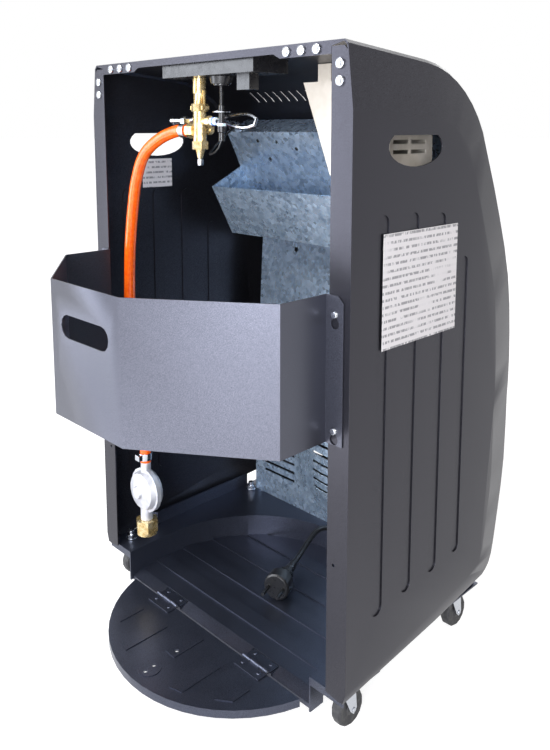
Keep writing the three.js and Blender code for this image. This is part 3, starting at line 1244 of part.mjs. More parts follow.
function regulatorBody() {
  const { x, d, z, r, t } = REGULATOR;
  const g = new THREE.LatheGeometry([
    [0, -t / 2 - 4], [9, -t / 2 - 4], [10, -t / 2], [r - 5, -t / 2 + 2], [r - 3, -3], [r, -3], [r, 3],
    [r - 3, 3], [r - 6, t / 2 - 2], [9, t / 2 + 2], [7, t / 2 + 5], [0, t / 2 + 5], [0, -t / 2 - 4],
  ].map(([u, v]) => new THREE.Vector2(u, v)), 18);
  g.translate(x, -d, z);
  const tail = rod('z', 6.5, 13, x, d, z + r + 2.2, 12);
  const neck = rod('z', 8, 16, x, d, z - r - 3, 14);
  const stub = rod('z', 5, 16, x, d, z - r - 14, 12);
  const flange = rod('z', 7.8, 2, x, d, z - r - 21, 14);
  return joinAll([solid(g), tail, neck, stub, flange]);
}

function regulatorNut() {
  const { x, d, z, r } = REGULATOR;
  const top = z - r - 11 - GAP;
  const nut = rod('z', 15, 15, x, d, top - 7.5, 6);
  const washer = rod('z', 13, 5, x, d, top - 17, 18);
  const bore = rod('z', 5 + GAP, 30, x, d, top - 2, 14);
  const well = rod('z', 8.4, 20, x, d, z - r - 20 + GAP - 9, 16);
  return cut(join(nut, washer), bore, well);
}

// ---------------------------------------------------------------- leads
const LEAD_R = 1.3;
const LEAD = [
  [PIEZO_X, 30, 600], [PIEZO_X, 30, 588], [PIEZO_X + 12, 33, 577], [38, 45, 572], [80, 92, 583],
  [110, 140, 598], [118, 162, 605], [122, 178, 603.5],
];

const COIL = { x: -146, d: 193, low: 50.3, inner: 28.5, outer: 43, height: 15 };

const PLUG = { x: -18, d: 96, z: 39, along: [0.37, 0.93], r: 17, length: 56 };
const CORD_Z = 53.9;               // a cord lying on the deck
const LOOP_R = COIL.outer - CORD_R - 0.2;
const GLAND = { x: COIL.x + LOOP_R, z: 64, tip: 222, r: 7 };
const MEET = 26;                   // a straight end stops this far before it touches the loop

// The cord climbs over the rim of the recess and crosses the deck to the coil in its corner.
const CORD_RUN = [
  [PLUG.x + PLUG.along[0] * (PLUG.length - 3), PLUG.d + PLUG.along[1] * (PLUG.length - 3), PLUG.z],
  [9, 166, 40.5], [15, 190, 48], [16, 210, 56.5], [10, 226, 56], [-6, 233, CORD_Z],
  [-40, 234, CORD_Z], [-80, 232, CORD_Z], [COIL.x + MEET, COIL.d + LOOP_R, CORD_Z],
];
const CORD_TAIL = [
  [GLAND.x, COIL.d + MEET + 1, 63.4], [GLAND.x, 226, GLAND.z], [GLAND.x, 236, GLAND.z],
  [GLAND.x, SHIELD_D + 3, GLAND.z],
];

function cordCoil() {
  const { inner, outer, height, low } = COIL;
  const soft = 3;
  const profile = [
    [inner, soft], [inner + soft, 0], [outer - soft, 0], [outer, soft], [outer, height - soft],
    [outer - soft, height], [inner + soft, height], [inner, height - soft], [inner, soft],
  ].map(([u, v]) => new THREE.Vector2(u, v));
  const g = new THREE.LatheGeometry(profile, 24);
  g.rotateX(Math.PI / 2);
  g.translate(COIL.x, -COIL.d, low);
  return g;
}

function cordGland() {
  const face = SHIELD_D - 0.6;
  const nut = rod('y', GLAND.r, 4, GLAND.x, face - 2, GLAND.z, 8);
  const relief = rod('y', 6.4, face - GLAND.tip, GLAND.x, (face + GLAND.tip) / 2, GLAND.z, 14, 4.6);
  const sleeve = rod('y', GLAND.r - 1.6, 6, GLAND.x, SHIELD_D, GLAND.z, 14);
  return cut(joinAll([nut, relief, sleeve]), rod('y', CORD_R + 2 * GAP, 60, GLAND.x, GLAND.tip, GLAND.z, 14));
}

function plug() {
  const profile = [
    [0, 0], [PLUG.r - 2, 0], [PLUG.r, 2], [PLUG.r, 17], [12, 24], [9, 33], [6.2, 36], [5.4, PLUG.length],
    [0, PLUG.length], [0, 0],
  ].map(([u, v]) => new THREE.Vector2(u, v));
  const body = solid(new THREE.LatheGeometry(profile, 16));
  const pins = [-1, 1].map((s) => solid(new THREE.CylinderGeometry(2.4, 2.4, 22, 10).translate(s * 9.5, -8, 0)));
  const hole = solid(new THREE.CylinderGeometry(CORD_R + GAP, CORD_R + GAP, 30, 14)
    .translate(0, PLUG.length + 11, 0));
  const turned = geometryOf(cut(join(body, ...pins), hole));
  turned.rotateZ(Math.PI + Math.atan2(PLUG.along[0], PLUG.along[1]));
  turned.translate(PLUG.x, -PLUG.d, PLUG.z);
  return turned;
}

// ---------------------------------------------------------------- the heater
piece('side_panel_left', sidePanel(-1), MAT.cabinet);
piece('side_panel_right', sidePanel(1), MAT.cabinet);
piece('roof_panel', roofPanel(), MAT.cabinet);
piece('front_panel', frontPanel(), MAT.cabinet);
piece('side_label', sideLabel(), MAT.label);

piece('base_tray', baseTray(), MAT.base);
casters();
flapAndHinges();
piece('bottle_guard', bottleGuard(), MAT.guard);
guardScrews();

piece('heat_shield_lower', cut(lowerShield(),
  rod('y', GLAND.r - 1.6 + GAP, 12, GLAND.x, SHIELD_D, GLAND.z, 14)), MAT.zinc);
piece('heat_shield_upper', upperShield(), MAT.zinc);
piece('burner_hood', burnerHood(), MAT.zinc);
piece('burner_box', burnerBox(), MAT.zinc);
piece('ceramic_plaques', ceramicPlaques(), MAT.ceramic);
piece('pilot_assembly', pilotAssembly(), MAT.steel);
piece('wire_guard', wireGuard(), MAT.steel);
piece('fan_motor', fanMotor(), MAT.black);
piece('fan_impeller', fanImpeller(), MAT.black);

piece('control_bezel', controlBezel(), MAT.black);
piece('gas_knob', gasKnob(), MAT.black);
piece('valve_spindle', valveSpindle(), MAT.steel);
piece('valve_body', valveBody(), MAT.brass);
piece('piezo_body', piezo(), MAT.black);
piece('piezo_button', piezoButton(), MAT.black);
piece('fan_switch', fanSwitch(), MAT.black);
piece('fan_rocker', fanRocker(), MAT.black);
piece('wiring_box', wiringBox(), MAT.box);

piece('feed_pipe', feedPipe(), MAT.steel);
piece('gas_hose', tube(HOSE_RUN, HOSE_R, 12, 26), MAT.hose);
piece('hose_clamp_upper', clampRing('x', VALVE_X + 26, HOSE_RUN[0][1], HOSE_RUN[0][2]), MAT.steel);
piece('hose_clamp_lower', clampRing('z', REGULATOR.x, REGULATOR.d, HOSE_RUN[HOSE_RUN.length - 1][2] + 8), MAT.steel);
piece('regulator', regulatorBody(), MAT.diecast);
piece('regulator_nut', regulatorNut(), MAT.brass);
piece('ignition_lead', tube(LEAD, LEAD_R, 5, 20), MAT.black);
piece('mains_cord', tube(CORD_RUN, CORD_R, 8, 28), MAT.black);
piece('cord_coil', solid(cordCoil()), MAT.black);
piece('cord_tail', tube(CORD_TAIL, CORD_R, 8, 5), MAT.black);
piece('cord_gland', cordGland(), MAT.black);
piece('plug', plug(), MAT.black);

export default heater;
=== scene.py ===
"""Portable gas cabinet heater, seen from behind: finishes, soft lines and fine detail on the solid frame."""
import math
import json

import bpy
from mathutils import Matrix, Vector


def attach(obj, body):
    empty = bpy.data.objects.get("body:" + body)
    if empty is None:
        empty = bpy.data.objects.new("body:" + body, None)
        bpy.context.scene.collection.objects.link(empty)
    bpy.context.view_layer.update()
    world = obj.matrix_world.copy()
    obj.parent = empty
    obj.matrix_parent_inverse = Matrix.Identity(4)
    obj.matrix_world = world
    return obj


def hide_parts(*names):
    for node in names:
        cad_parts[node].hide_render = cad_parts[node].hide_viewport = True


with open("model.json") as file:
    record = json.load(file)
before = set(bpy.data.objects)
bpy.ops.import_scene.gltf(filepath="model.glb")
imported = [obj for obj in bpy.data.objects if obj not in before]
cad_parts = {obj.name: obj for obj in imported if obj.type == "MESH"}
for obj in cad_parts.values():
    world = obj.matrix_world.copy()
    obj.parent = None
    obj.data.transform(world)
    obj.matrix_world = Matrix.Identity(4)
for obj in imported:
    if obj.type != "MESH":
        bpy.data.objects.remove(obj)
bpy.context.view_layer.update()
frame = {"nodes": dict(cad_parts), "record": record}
MM = 0.001
REAR_Y = 89.95                  # back plane of the cabinet


def place(x, d, z):
    """A point by its x, its depth in front of the back plane and its height, all in millimetres."""
    return Vector((x * MM, (REAR_Y - d) * MM, z * MM))


# ---------------------------------------------------------------- camera
CAMERA_AT = place(-632.5, -511.7, 601.0)
VIEW_YAW = math.radians(45.38)
VIEW_PITCH = math.radians(-7.95)
FOCAL_PX = 755.6
PRINCIPAL = (275.1, 234.2)
FRAME_PX = (550, 750)


def make_camera():
    data = bpy.data.cameras.new("camera")
    cam = bpy.data.objects.new("camera", data)
    bpy.context.scene.collection.objects.link(cam)
    forward = Vector((
        math.sin(VIEW_YAW) * math.cos(VIEW_PITCH),
        -math.cos(VIEW_YAW) * math.cos(VIEW_PITCH),
        math.sin(VIEW_PITCH),
    ))
    cam.location = CAMERA_AT
    cam.rotation_mode = "QUATERNION"
    cam.rotation_quaternion = forward.to_track_quat("-Z", "Y")
    long_side = max(FRAME_PX)
    data.sensor_width = 36
    data.lens = FOCAL_PX / long_side * data.sensor_width
    data.shift_x = (FRAME_PX[0] / 2 - PRINCIPAL[0]) / long_side
    data.shift_y = (PRINCIPAL[1] - FRAME_PX[1] / 2) / long_side
    data.clip_start = 0.02
    data.clip_end = 50
    bpy.context.scene.camera = cam


# ---------------------------------------------------------------- shader helpers
class Shader:
    """A material under construction: its node tree and its Principled node."""

    def __init__(self, name, color, roughness, metallic=0.0, **sockets):
        self.material = bpy.data.materials.new(name)
        self.material.use_nodes = True
        self.nodes = self.material.node_tree.nodes
        self.links = self.material.node_tree.links
        self.bsdf = self.nodes["Principled BSDF"]
        self.coords = None
        self.set("Base Color", (*color, 1))
        self.set("Roughness", roughness)
        self.set("Metallic", metallic)
        for socket, value in sockets.items():
            self.set(socket.replace("_", " "), value)

    def set(self, socket, value):
        self.bsdf.inputs[socket].default_value = value

    def node(self, kind, **values):
        made = self.nodes.new(kind)
        for key, value in values.items():
            if key in made.inputs:
                made.inputs[key].default_value = value
            else:
                setattr(made, key, value)
        return made

    def where(self):
        if self.coords is None:
            self.coords = self.node("ShaderNodeTexCoord")
        return self.coords.outputs["Object"]

    def stretched(self, scale):
        mapping = self.node("ShaderNodeMapping")
        mapping.inputs["Scale"].default_value = scale
        self.links.new(self.where(), mapping.inputs["Vector"])
        return mapping.outputs["Vector"]

    def noise(self, scale, detail=2.0, vector=None):
        made = self.node("ShaderNodeTexNoise", Scale=scale, Detail=detail)
        self.links.new(vector or self.where(), made.inputs["Vector"])
        return made.outputs["Fac"]

    def cells(self, scale):
        made = self.node("ShaderNodeTexVoronoi", Scale=scale)
        self.links.new(self.where(), made.inputs["Vector"])
        return made.outputs

    def span(self, value, low, high, to_low, to_high):
        """The value carried from low..high to to_low..to_high, and held at the ends."""
        made = self.node("ShaderNodeMapRange")
        for key, number in (("From Min", low), ("From Max", high), ("To Min", to_low), ("To Max", to_high)):
            made.inputs[key].default_value = number
        self.links.new(value, made.inputs["Value"])
        return made.outputs["Result"]

    def blend(self, factor, first, second):
        """A colour mix; each side is a colour or an output."""
        made = self.node("ShaderNodeMix", data_type="RGBA")
        self.links.new(factor, made.inputs[0])
        for index, side in ((6, first), (7, second)):
            if isinstance(side, tuple):
                made.inputs[index].default_value = (*side, 1)
            else:
                self.links.new(side, made.inputs[index])
        return made.outputs[2]

    def multiply(self, a, b):
        made = self.node("ShaderNodeMath", operation="MULTIPLY")
        self.links.new(a, made.inputs[0])
        if isinstance(b, (int, float)):
            made.inputs[1].default_value = b
        else:
            self.links.new(b, made.inputs[1])
        return made.outputs[0]

    def color(self, output):
        self.links.new(output, self.bsdf.inputs["Base Color"])

    def rough(self, output):
        self.links.new(output, self.bsdf.inputs["Roughness"])

    def bump(self, height, distance, strength=1.0):
        made = self.node("ShaderNodeBump", Strength=strength, Distance=distance)
        self.links.new(height, made.inputs["Height"])
        previous = self.bsdf.inputs["Normal"]
        if previous.is_linked:
            self.links.new(previous.links[0].from_socket, made.inputs["Normal"])
        self.links.new(made.outputs["Normal"], previous)


# ---------------------------------------------------------------- materials
def metallic_paint(name, low, high, roughness, fleck=2300):
    """Charcoal powder coat with fine metal flake: pale where it mirrors a light, near black elsewhere."""
    s = Shader(name, low, roughness, 0.82, Specular_IOR_Level=0.4)
    fine = s.noise(fleck, 2)
    broad = s.noise(7, 2)
    flake = s.span(fine, 0.34, 0.68, 0, 1)
    s.color(s.blend(flake, low, high))
    s.rough(s.span(broad, 0.3, 0.7, roughness - 0.03, roughness + 0.03))
    s.bump(fine, 0.00004, 0.55)
    return s.material


def cabinet_paint():
    return metallic_paint("cabinet_paint", (0.016, 0.0155, 0.019), (0.07, 0.069, 0.084), 0.32)


def guard_paint():
    return metallic_paint("guard_paint", (0.046, 0.048, 0.061), (0.135, 0.139, 0.172), 0.38)


def base_paint():
    """Dark blue-grey satin coat of the base and the flap."""
    s = Shader("base_paint", (0.05, 0.055, 0.075), 0.38, 0.8)
    fine = s.noise(2400, 2)
    s.color(s.blend(s.span(fine, 0.35, 0.68, 0, 1), (0.026, 0.029, 0.042), (0.12, 0.13, 0.175)))
    s.rough(s.span(s.noise(40, 3), 0.3, 0.7, 0.28, 0.36))
    s.bump(fine, 0.00004, 0.5)
    return s.material


def galvanised():
    """Hot-dip zinc: small flat crystals, each with its own tone and sheen, and a finer grain over them."""
    s = Shader("galvanised", (0.4, 0.47, 0.55), 0.3, 0.72)
    broad = s.cells(190)
    small = s.cells(430)
    tone = s.node("ShaderNodeSeparateColor")
    s.links.new(broad["Color"], tone.inputs[0])
    minor = s.node("ShaderNodeSeparateColor")
    s.links.new(small["Color"], minor.inputs[0])
    base = s.blend(tone.outputs[0], (0.22, 0.33, 0.47), (0.56, 0.72, 0.9))
    s.color(s.blend(s.multiply(minor.outputs[1], 0.4), base, (0.72, 0.8, 0.88)))
    s.rough(s.span(tone.outputs[1], 0, 1, 0.22, 0.42))
    s.bump(s.noise(900, 3), 0.00003, 0.4)
    return s.material


def bright_steel():
    s = Shader("bright_steel", (0.5, 0.52, 0.56), 0.24, 1.0)
    s.rough(s.span(s.noise(160, 4), 0.3, 0.7, 0.14, 0.3))
    s.bump(s.noise(700, 2), 0.00002, 0.4)
    return s.material


def brass():
    s = Shader("brass", (0.72, 0.5, 0.2), 0.25, 0.75)
    tarnish = s.span(s.noise(120, 4), 0.4, 0.65, 0, 1)
    s.color(s.blend(tarnish, (0.5, 0.35, 0.14), (0.78, 0.64, 0.38)))
    s.rough(s.span(s.noise(260, 3), 0.3, 0.7, 0.18, 0.34))
    s.bump(s.noise(900, 2), 0.00003, 0.4)
    return s.material


def die_cast():
    s = Shader("die_cast", (0.66, 0.66, 0.69), 0.42, 0.55)
    s.color(s.blend(s.span(s.noise(90, 4), 0.35, 0.7, 0, 1), (0.5, 0.5, 0.54), (0.66, 0.66, 0.68)))
    s.bump(s.noise(1500, 2), 0.00008, 0.6)
    return s.material


def black_plastic():
    s = Shader("black_plastic", (0.012, 0.012, 0.014), 0.42, 0.0)
    s.rough(s.span(s.noise(140, 3), 0.3, 0.7, 0.2, 0.32))
    s.bump(s.noise(2200, 2), 0.00004, 0.5)
    return s.material


def cord_sheath():
    s = Shader("cord_sheath", (0.011, 0.011, 0.012), 0.5, 0.0)
    s.rough(s.span(s.noise(300, 3), 0.3, 0.7, 0.26, 0.4))
    s.bump(s.noise(1800, 2), 0.00004, 0.5)
    return s.material


def wheel_rubber():
    s = Shader("wheel_rubber", (0.03, 0.03, 0.033), 0.62, 0.0)
    dust = s.span(s.noise(180, 4), 0.45, 0.75, 0, 1)
    s.color(s.blend(dust, (0.022, 0.022, 0.025), (0.07, 0.068, 0.066)))
    s.bump(s.noise(1300, 3), 0.00008, 0.6)
    return s.material


def hose_rubber():
    """Orange gas hose: smooth extruded rubber with faint lighter blotches."""
    s = Shader("hose_rubber", (0.95, 0.10, 0.004), 0.2, 0.0, Specular_IOR_Level=0.6)
    streak = s.span(s.noise(240, 3), 0.35, 0.7, 0, 1)
    s.color(s.blend(streak, (0.93, 0.095, 0.003), (1.0, 0.16, 0.008)))
    s.bump(s.noise(700, 2), 0.00005, 0.5)
    return s.material


def ceramic():
    """Pale plaque pierced all over with small round flame ports, each painted dark inside as painted shade."""
    s = Shader("plaque_ceramic", (0.62, 0.5, 0.36), 0.9, 0.0)
    ports = s.cells(320)
    port_depth_and_painted_shade = s.span(ports["Distance"], 0.18, 0.3, 0, 1)
    # painted shade: the ports are coloured dark for the shade inside them; the same mask also shapes their bump
    s.color(s.blend(port_depth_and_painted_shade, (0.16, 0.11, 0.07), (0.66, 0.54, 0.4)))
    s.bump(port_depth_and_painted_shade, 0.0008, 0.8)
    return s.material


def label_film():
    """Plain film with close rows of short dark dashes, in patches."""
    s = Shader("label_film", (0.72, 0.7, 0.7), 0.5, 0.0)
    rows = s.node("ShaderNodeTexWave", wave_type="BANDS", bands_direction="Z", Scale=46)
    s.links.new(s.where(), rows.inputs["Vector"])
    dashes = s.noise(420, 2, s.stretched((1, 1, 0.25)))
    blocks = s.noise(34, 1)
    ink = s.multiply(s.span(rows.outputs["Fac"], 0.55, 0.8, 0, 1), s.span(dashes, 0.42, 0.5, 0, 1))
    ink = s.multiply(ink, s.span(blocks, 0.36, 0.44, 0.05, 0.7))
    s.color(s.blend(ink, (0.78, 0.74, 0.74), (0.12, 0.12, 0.13)))
    s.bump(s.noise(500, 2), 0.00003, 0.3)
    return s.material


def cream_paint():
    s = Shader("cream_paint", (0.6, 0.54, 0.46), 0.5, 0.0)
    s.color(s.blend(s.span(s.noise(60, 3), 0.3, 0.7, 0, 1), (0.54, 0.48, 0.4), (0.66, 0.6, 0.52)))
    s.bump(s.noise(900, 2), 0.00004, 0.4)
    return s.material


def clear_sleeve():
    s = Shader("clear_sleeve", (0.82, 0.85, 0.88), 0.25, 0.0)
    s.set("Subsurface Weight", 0.3)
    s.bump(s.noise(600, 2), 0.00005, 0.4)
    return s.material


def blue_band():
    s = Shader("blue_band", (0.02, 0.12, 0.55), 0.35, 0.0)
    s.bump(s.noise(700, 2), 0.00004, 0.4)
    return s.material


MATERIALS = {
    "cabinet": cabinet_paint(), "guard": guard_paint(), "base": base_paint(), "zinc": galvanised(),
    "steel": bright_steel(), "brass": brass(), "diecast": die_cast(), "black": black_plastic(),
    "rubber": wheel_rubber(), "hose": hose_rubber(), "cord": cord_sheath(), "ceramic": ceramic(),
    "label": label_film(), "cream": cream_paint(),
}
CLEAR = clear_sleeve()
BLUE = blue_band()


# ---------------------------------------------------------------- mesh helpers
def shade(obj, degrees=32):
    """Smooth faces, with edges sharper than the angle kept crisp."""
    mesh = obj.data
    for polygon in mesh.polygons:
        polygon.use_smooth = True
    mesh.set_sharp_from_angle(angle=math.radians(degrees))


def add_piece(name, mesh, material, body):
    obj = bpy.data.objects.new(name, mesh)
    bpy.context.scene.collection.objects.link(obj)
    mesh.materials.append(material)
    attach(obj, body)
    return obj


EDGE_ROUND = {"bottle_guard": 0.0005, "base_tray": 0.0006, "burner_hood": 0.0005, "roof_panel": 0.0006}
EDGE_ROUND_ELSEWHERE = 0.0003
WELD_DISTANCE = 0.000002
BEVEL_ANGLE = math.radians(38)


def dress_frame():
    """Each solid of the frame takes its slot's material, welded corners and a small rounded edge."""
    slots = {row["node"]: row["material_slot"] for row in frame["record"]["subparts"]}
    for name, obj in frame["nodes"].items():
        obj.data.materials.clear()
        obj.data.materials.append(MATERIALS[slots[name]])
        custom = obj.data.attributes.get("custom_normal")
        if custom:
            obj.data.attributes.remove(custom)
        weld = obj.modifiers.new("weld", "WELD")
        weld.merge_threshold = WELD_DISTANCE
        edge = obj.modifiers.new("edge", "BEVEL")
        edge.width = EDGE_ROUND.get(name, EDGE_ROUND_ELSEWHERE)
        edge.segments = 2
        edge.limit_method = "ANGLE"
        edge.angle_limit = BEVEL_ANGLE
        edge.use_clamp_overlap = True
        for polygon in obj.data.polygons:
            polygon.use_smooth = True
        smooth_by_angle(obj)
        flat = obj.modifiers.new("flat", "WEIGHTED_NORMAL")
        flat.keep_sharp = True
        flat.weight = 60


def smooth_by_angle(obj, degrees=34):
    """Sharp edges by angle, worked out after the other modifiers."""
    made = obj.modifiers.new("sharp", "NODES")
    made.node_group = bpy.data.node_groups.get("sharp_edges") or sharp_edge_group(degrees)


def sharp_edge_group(degrees):
    group = bpy.data.node_groups.new("sharp_edges", "GeometryNodeTree")
    group.interface.new_socket("Geometry", in_out="INPUT", socket_type="NodeSocketGeometry")
    group.interface.new_socket("Geometry", in_out="OUTPUT", socket_type="NodeSocketGeometry")
    enter = group.nodes.new("NodeGroupInput")
    leave = group.nodes.new("NodeGroupOutput")
    angle = group.nodes.new("GeometryNodeInputMeshEdgeAngle")
    sharper = group.nodes.new("FunctionNodeCompare")
    sharper.inputs[1].default_value = math.radians(degrees)
    whole = group.nodes.new("GeometryNodeSetShadeSmooth")
    crisp = group.nodes.new("GeometryNodeSetShadeSmooth")
    crisp.domain = "EDGE"
    crisp.inputs["Shade Smooth"].default_value = False
    group.links.new(enter.outputs[0], whole.inputs["Geometry"])
    group.links.new(whole.outputs["Geometry"], crisp.inputs["Geometry"])
    group.links.new(angle.outputs["Unsigned Angle"], sharper.inputs[0])
    group.links.new(sharper.outputs[0], crisp.inputs["Selection"])
    group.links.new(crisp.outputs["Geometry"], leave.inputs[0])
    return group


def lathe(profile, segments=32):
    """A mesh turned about +Z from [radius, height] pairs in millimetres."""
    verts, faces = [], []
    for r, z in profile:
        for k in range(segments):
            a = 2 * math.pi * k / segments
            verts.append((r * math.cos(a) * MM, r * math.sin(a) * MM, z * MM))
    for i in range(len(profile) - 1):
        for k in range(segments):
            n = (k + 1) % segments
            faces.append((i * segments + k, i * segments + n, (i + 1) * segments + n, (i + 1) * segments + k))
    mesh = bpy.data.meshes.new("turned")
    mesh.from_pydata(verts, [], faces)
    mesh.validate()
    return mesh


def turned(name, profile, at, along, material, body, segments=32):
    """A turned piece standing at a point, with its axis along a direction."""
    mesh = lathe(profile, segments)
    turn = Vector(along).to_track_quat("Z", "X").to_matrix().to_4x4()
    mesh.transform(Matrix.Translation(at) @ turn)
    obj = add_piece(name, mesh, material, body)
    shade(obj)
    return obj


def centripetal(points, step):
    """Points about a step apart on the smooth curve through the given ones."""
    ends = [points[0] * 2 - points[1], *points, points[-1] * 2 - points[-2]]
    made = []
    for p0, p1, p2, p3 in zip(ends, ends[1:], ends[2:], ends[3:]):
        t1 = (p1 - p0).length ** 0.5
        t2 = t1 + (p2 - p1).length ** 0.5
        t3 = t2 + (p3 - p2).length ** 0.5
        count = max(1, round((p2 - p1).length / step))
        for k in range(count):
            t = t1 + (t2 - t1) * k / count
            a1 = p0 * ((t1 - t) / t1) + p1 * (t / t1)
            a2 = p1 * ((t2 - t) / (t2 - t1)) + p2 * ((t - t1) / (t2 - t1))
            a3 = p2 * ((t3 - t) / (t3 - t2)) + p3 * ((t - t2) / (t3 - t2))
            b1 = a1 * ((t2 - t) / t2) + a2 * (t / t2)
            b2 = a2 * ((t3 - t) / (t3 - t1)) + a3 * ((t - t1) / (t3 - t1))
            made.append(b1 * ((t2 - t) / (t2 - t1)) + b2 * ((t - t1) / (t2 - t1)))
    made.append(points[-1])
    return made


def line_piece(name, points, radius, material, body, step=3, sides=5):
    """A round line along points in metres, as a curve of one open spline."""
    data = bpy.data.curves.new(name, "CURVE")
    data.dimensions = "3D"
    spline = data.splines.new("POLY")
    path = centripetal(points, step * MM)
    spline.points.add(len(path) - 1)
    for point, at in zip(spline.points, path):
        point.co = (*at, 1)
    spline.use_smooth = True
    data.bevel_depth = radius * MM
    data.bevel_resolution = sides
    data.use_fill_caps = True
    obj = bpy.data.objects.new(name, data)
    bpy.context.scene.collection.objects.link(obj)
    data.materials.append(material)
    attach(obj, body)
    return obj


# ---------------------------------------------------------------- fine pieces
RIVETS = [(129, 671.5), (148, 671.5), (167, 671.5), (194.8, 657.5), (194.8, 642.5)]    # x either side, z


def rivet_heads():
    """Bright blind rivets along the back of the roof and down both back flanges."""
    dome = [(0.01, 2.8), (2.2, 2.75), (3.9, 2.5), (4.7, 1.9), (5.1, 0.8), (5.1, 0)]
    spots = [(side * x, z) for side in (-1, 1) for x, z in RIVETS]
    for index, (x, z) in enumerate(spots):
        turned(f"rivet_{index}", dome, place(x, 0, z), (0, 1, 0), MATERIALS["steel"], "cabinet", 24)


def sheet_note():
    """The plain note stuck inside the right panel, beside the bottle."""
    x, near, far, low, high = 207.9, 70, 118, 523, 561
    corners = [place(x, near, low), place(x, far, low), place(x, far, high), place(x, near, high)]
    thick = Vector((-0.3 * MM, 0, 0))
    verts = corners + [corner + thick for corner in corners]
    faces = [(0, 1, 2, 3), (7, 6, 5, 4), (0, 4, 5, 1), (1, 5, 6, 2), (2, 6, 7, 3), (3, 7, 4, 0)]
    mesh = bpy.data.meshes.new("note")
    mesh.from_pydata(verts, [], faces)
    add_piece("inner_note", mesh, MATERIALS["label"], "cabinet")


def valve_fittings():
    """The capped test tube, the valve's tip, the banded sleeves on the feed and the igniter's small parts."""
    steel = MATERIALS["steel"]
    tube = [
        (0.01, 0), (3.6, 0), (3.6, 16), (5.4, 17), (5.4, 24), (3.4, 25), (3.4, 40), (4.4, 41), (4.4, 45), (3, 47),
        (0.01, 47.2),
    ]
    turned("capped_tube", tube, place(56, 41, 610.5), (1, 0, 0), steel, "cabinet", 20)
    for index, x in enumerate((17.5, 11.5)):
        ring = [(2.1, 0), (4.2, 0.2), (4.4, 1), (4.4, 3.6), (4.1, 4.6), (2.1, 4.8)]
        turned(f"feed_sleeve_{index}", ring, place(x, 30, 608.95), (-1, 0.02, 0), CLEAR, "cabinet", 20)
    band = [(2.2, 0), (4.7, 0), (4.7, 1.3), (2.2, 1.3)]
    turned("feed_band", band, place(12.3, 30, 608.9), (-1, 0.02, 0), BLUE, "cabinet", 20)
    stem = [(0.01, 0), (3.4, 0), (3.4, 9), (4.8, 10), (4.8, 20), (0.01, 20)]
    turned("igniter_boot", stem, place(-1, 30, 587.5), (0, 0, 1), MATERIALS["black"], "cabinet", 20)
    collar = [(3, 0), (5, 0.3), (5, 3.4), (3, 3.7)]
    turned("igniter_collar", collar, place(-1, 30, 603.5), (0, 0, 1), CLEAR, "cabinet", 20)
    tip = [(1.7, 0), (3.1, 0.4), (3.4, 2), (3.4, 6.5), (3, 7.5)]
    turned("valve_tip", tip, place(36.5, 30, 559.7), (0, 0, 1), steel, "cabinet", 16)
    washer = [(5.2, 0), (9.6, 0), (9.8, 0.6), (9.6, 1.2), (5.2, 1.2)]
    turned("igniter_washer", washer, place(-1, 30, 618.5), (0, 0, 1), steel, "cabinet", 24)


HOOD_RIDGE = (169, 597)         # depth and height
HOOD_CREASE = (193, 549.6)
HOOD_LEDGE_OUT = (0, 0.892, -0.452)
# black discs where small holes are punched in the hood's ledge: painted shade for the dark inside each hole
HOOD_PAINTED_HOLE_SHADES = ((96, 0.25), (84, 0.75), (30, 0.45), (-20, 0.3), (-64, 0.6))   # x, share of the way down the ledge
RIDGE_TABS = 17


def hood_details():
    """Pale tab ends along the hood's ridge, and black discs on the ledge under it: painted shade for the dark inside
    small punched holes.
    """
    dot = [(0.01, 0.9), (1.2, 0.8), (1.7, 0.2), (1.7, 0)]
    for index in range(RIDGE_TABS):
        turned(f"ridge_tab_{index}", dot, place(-136 + 17 * index, 168.6, 597.4), (0, 0.4, 1),
               MATERIALS["steel"], "cabinet", 12)
    # painted shade: each black disc stands for the dark seen inside a small punched hole
    painted_hole_shade = [(0.01, 0.5), (2.2, 0.5), (2.6, 0), (2.6, -0.2)]
    for index, (x, share) in enumerate(HOOD_PAINTED_HOLE_SHADES):
        d = HOOD_RIDGE[0] + (HOOD_CREASE[0] - HOOD_RIDGE[0]) * share
        z = HOOD_RIDGE[1] + (HOOD_CREASE[1] - HOOD_RIDGE[1]) * share
        turned(f"hood_painted_hole_shade_{index}", painted_hole_shade, place(x, d, z), HOOD_LEDGE_OUT, MATERIALS["black"], "cabinet",
               14)


def plug_details():
    """A parting line and grip rings on the plug, and a cuff where the lead enters it."""
    along = Vector((0.37, -0.93, 0)).normalized()
    start = place(-18, 96, 39)
    black = MATERIALS["black"]
    for index, reach in enumerate((22.6, 27.1, 31.6)):
        radius = 17 - (reach - 17) * 5 / 7 if reach < 24 else 12 - (reach - 24) / 3
        ring = [(radius - 0.6, -0.9), (radius + 0.5, -0.5), (radius + 0.5, 0.5), (radius - 0.6, 0.9)]
        turned(f"plug_ring_{index}", ring, start + along * reach * MM, along, black, "cabinet", 28)
    for index in range(5):
        r = 6.3 - 0.22 * index
        ring = [(r - 1.2, -1.2), (r, -0.9), (r, 0.9), (r - 1.2, 1.2)]
        turned(f"plug_cuff_{index}", ring, start + along * (38 + 3.7 * index) * MM, along, black, "cabinet",
               24)


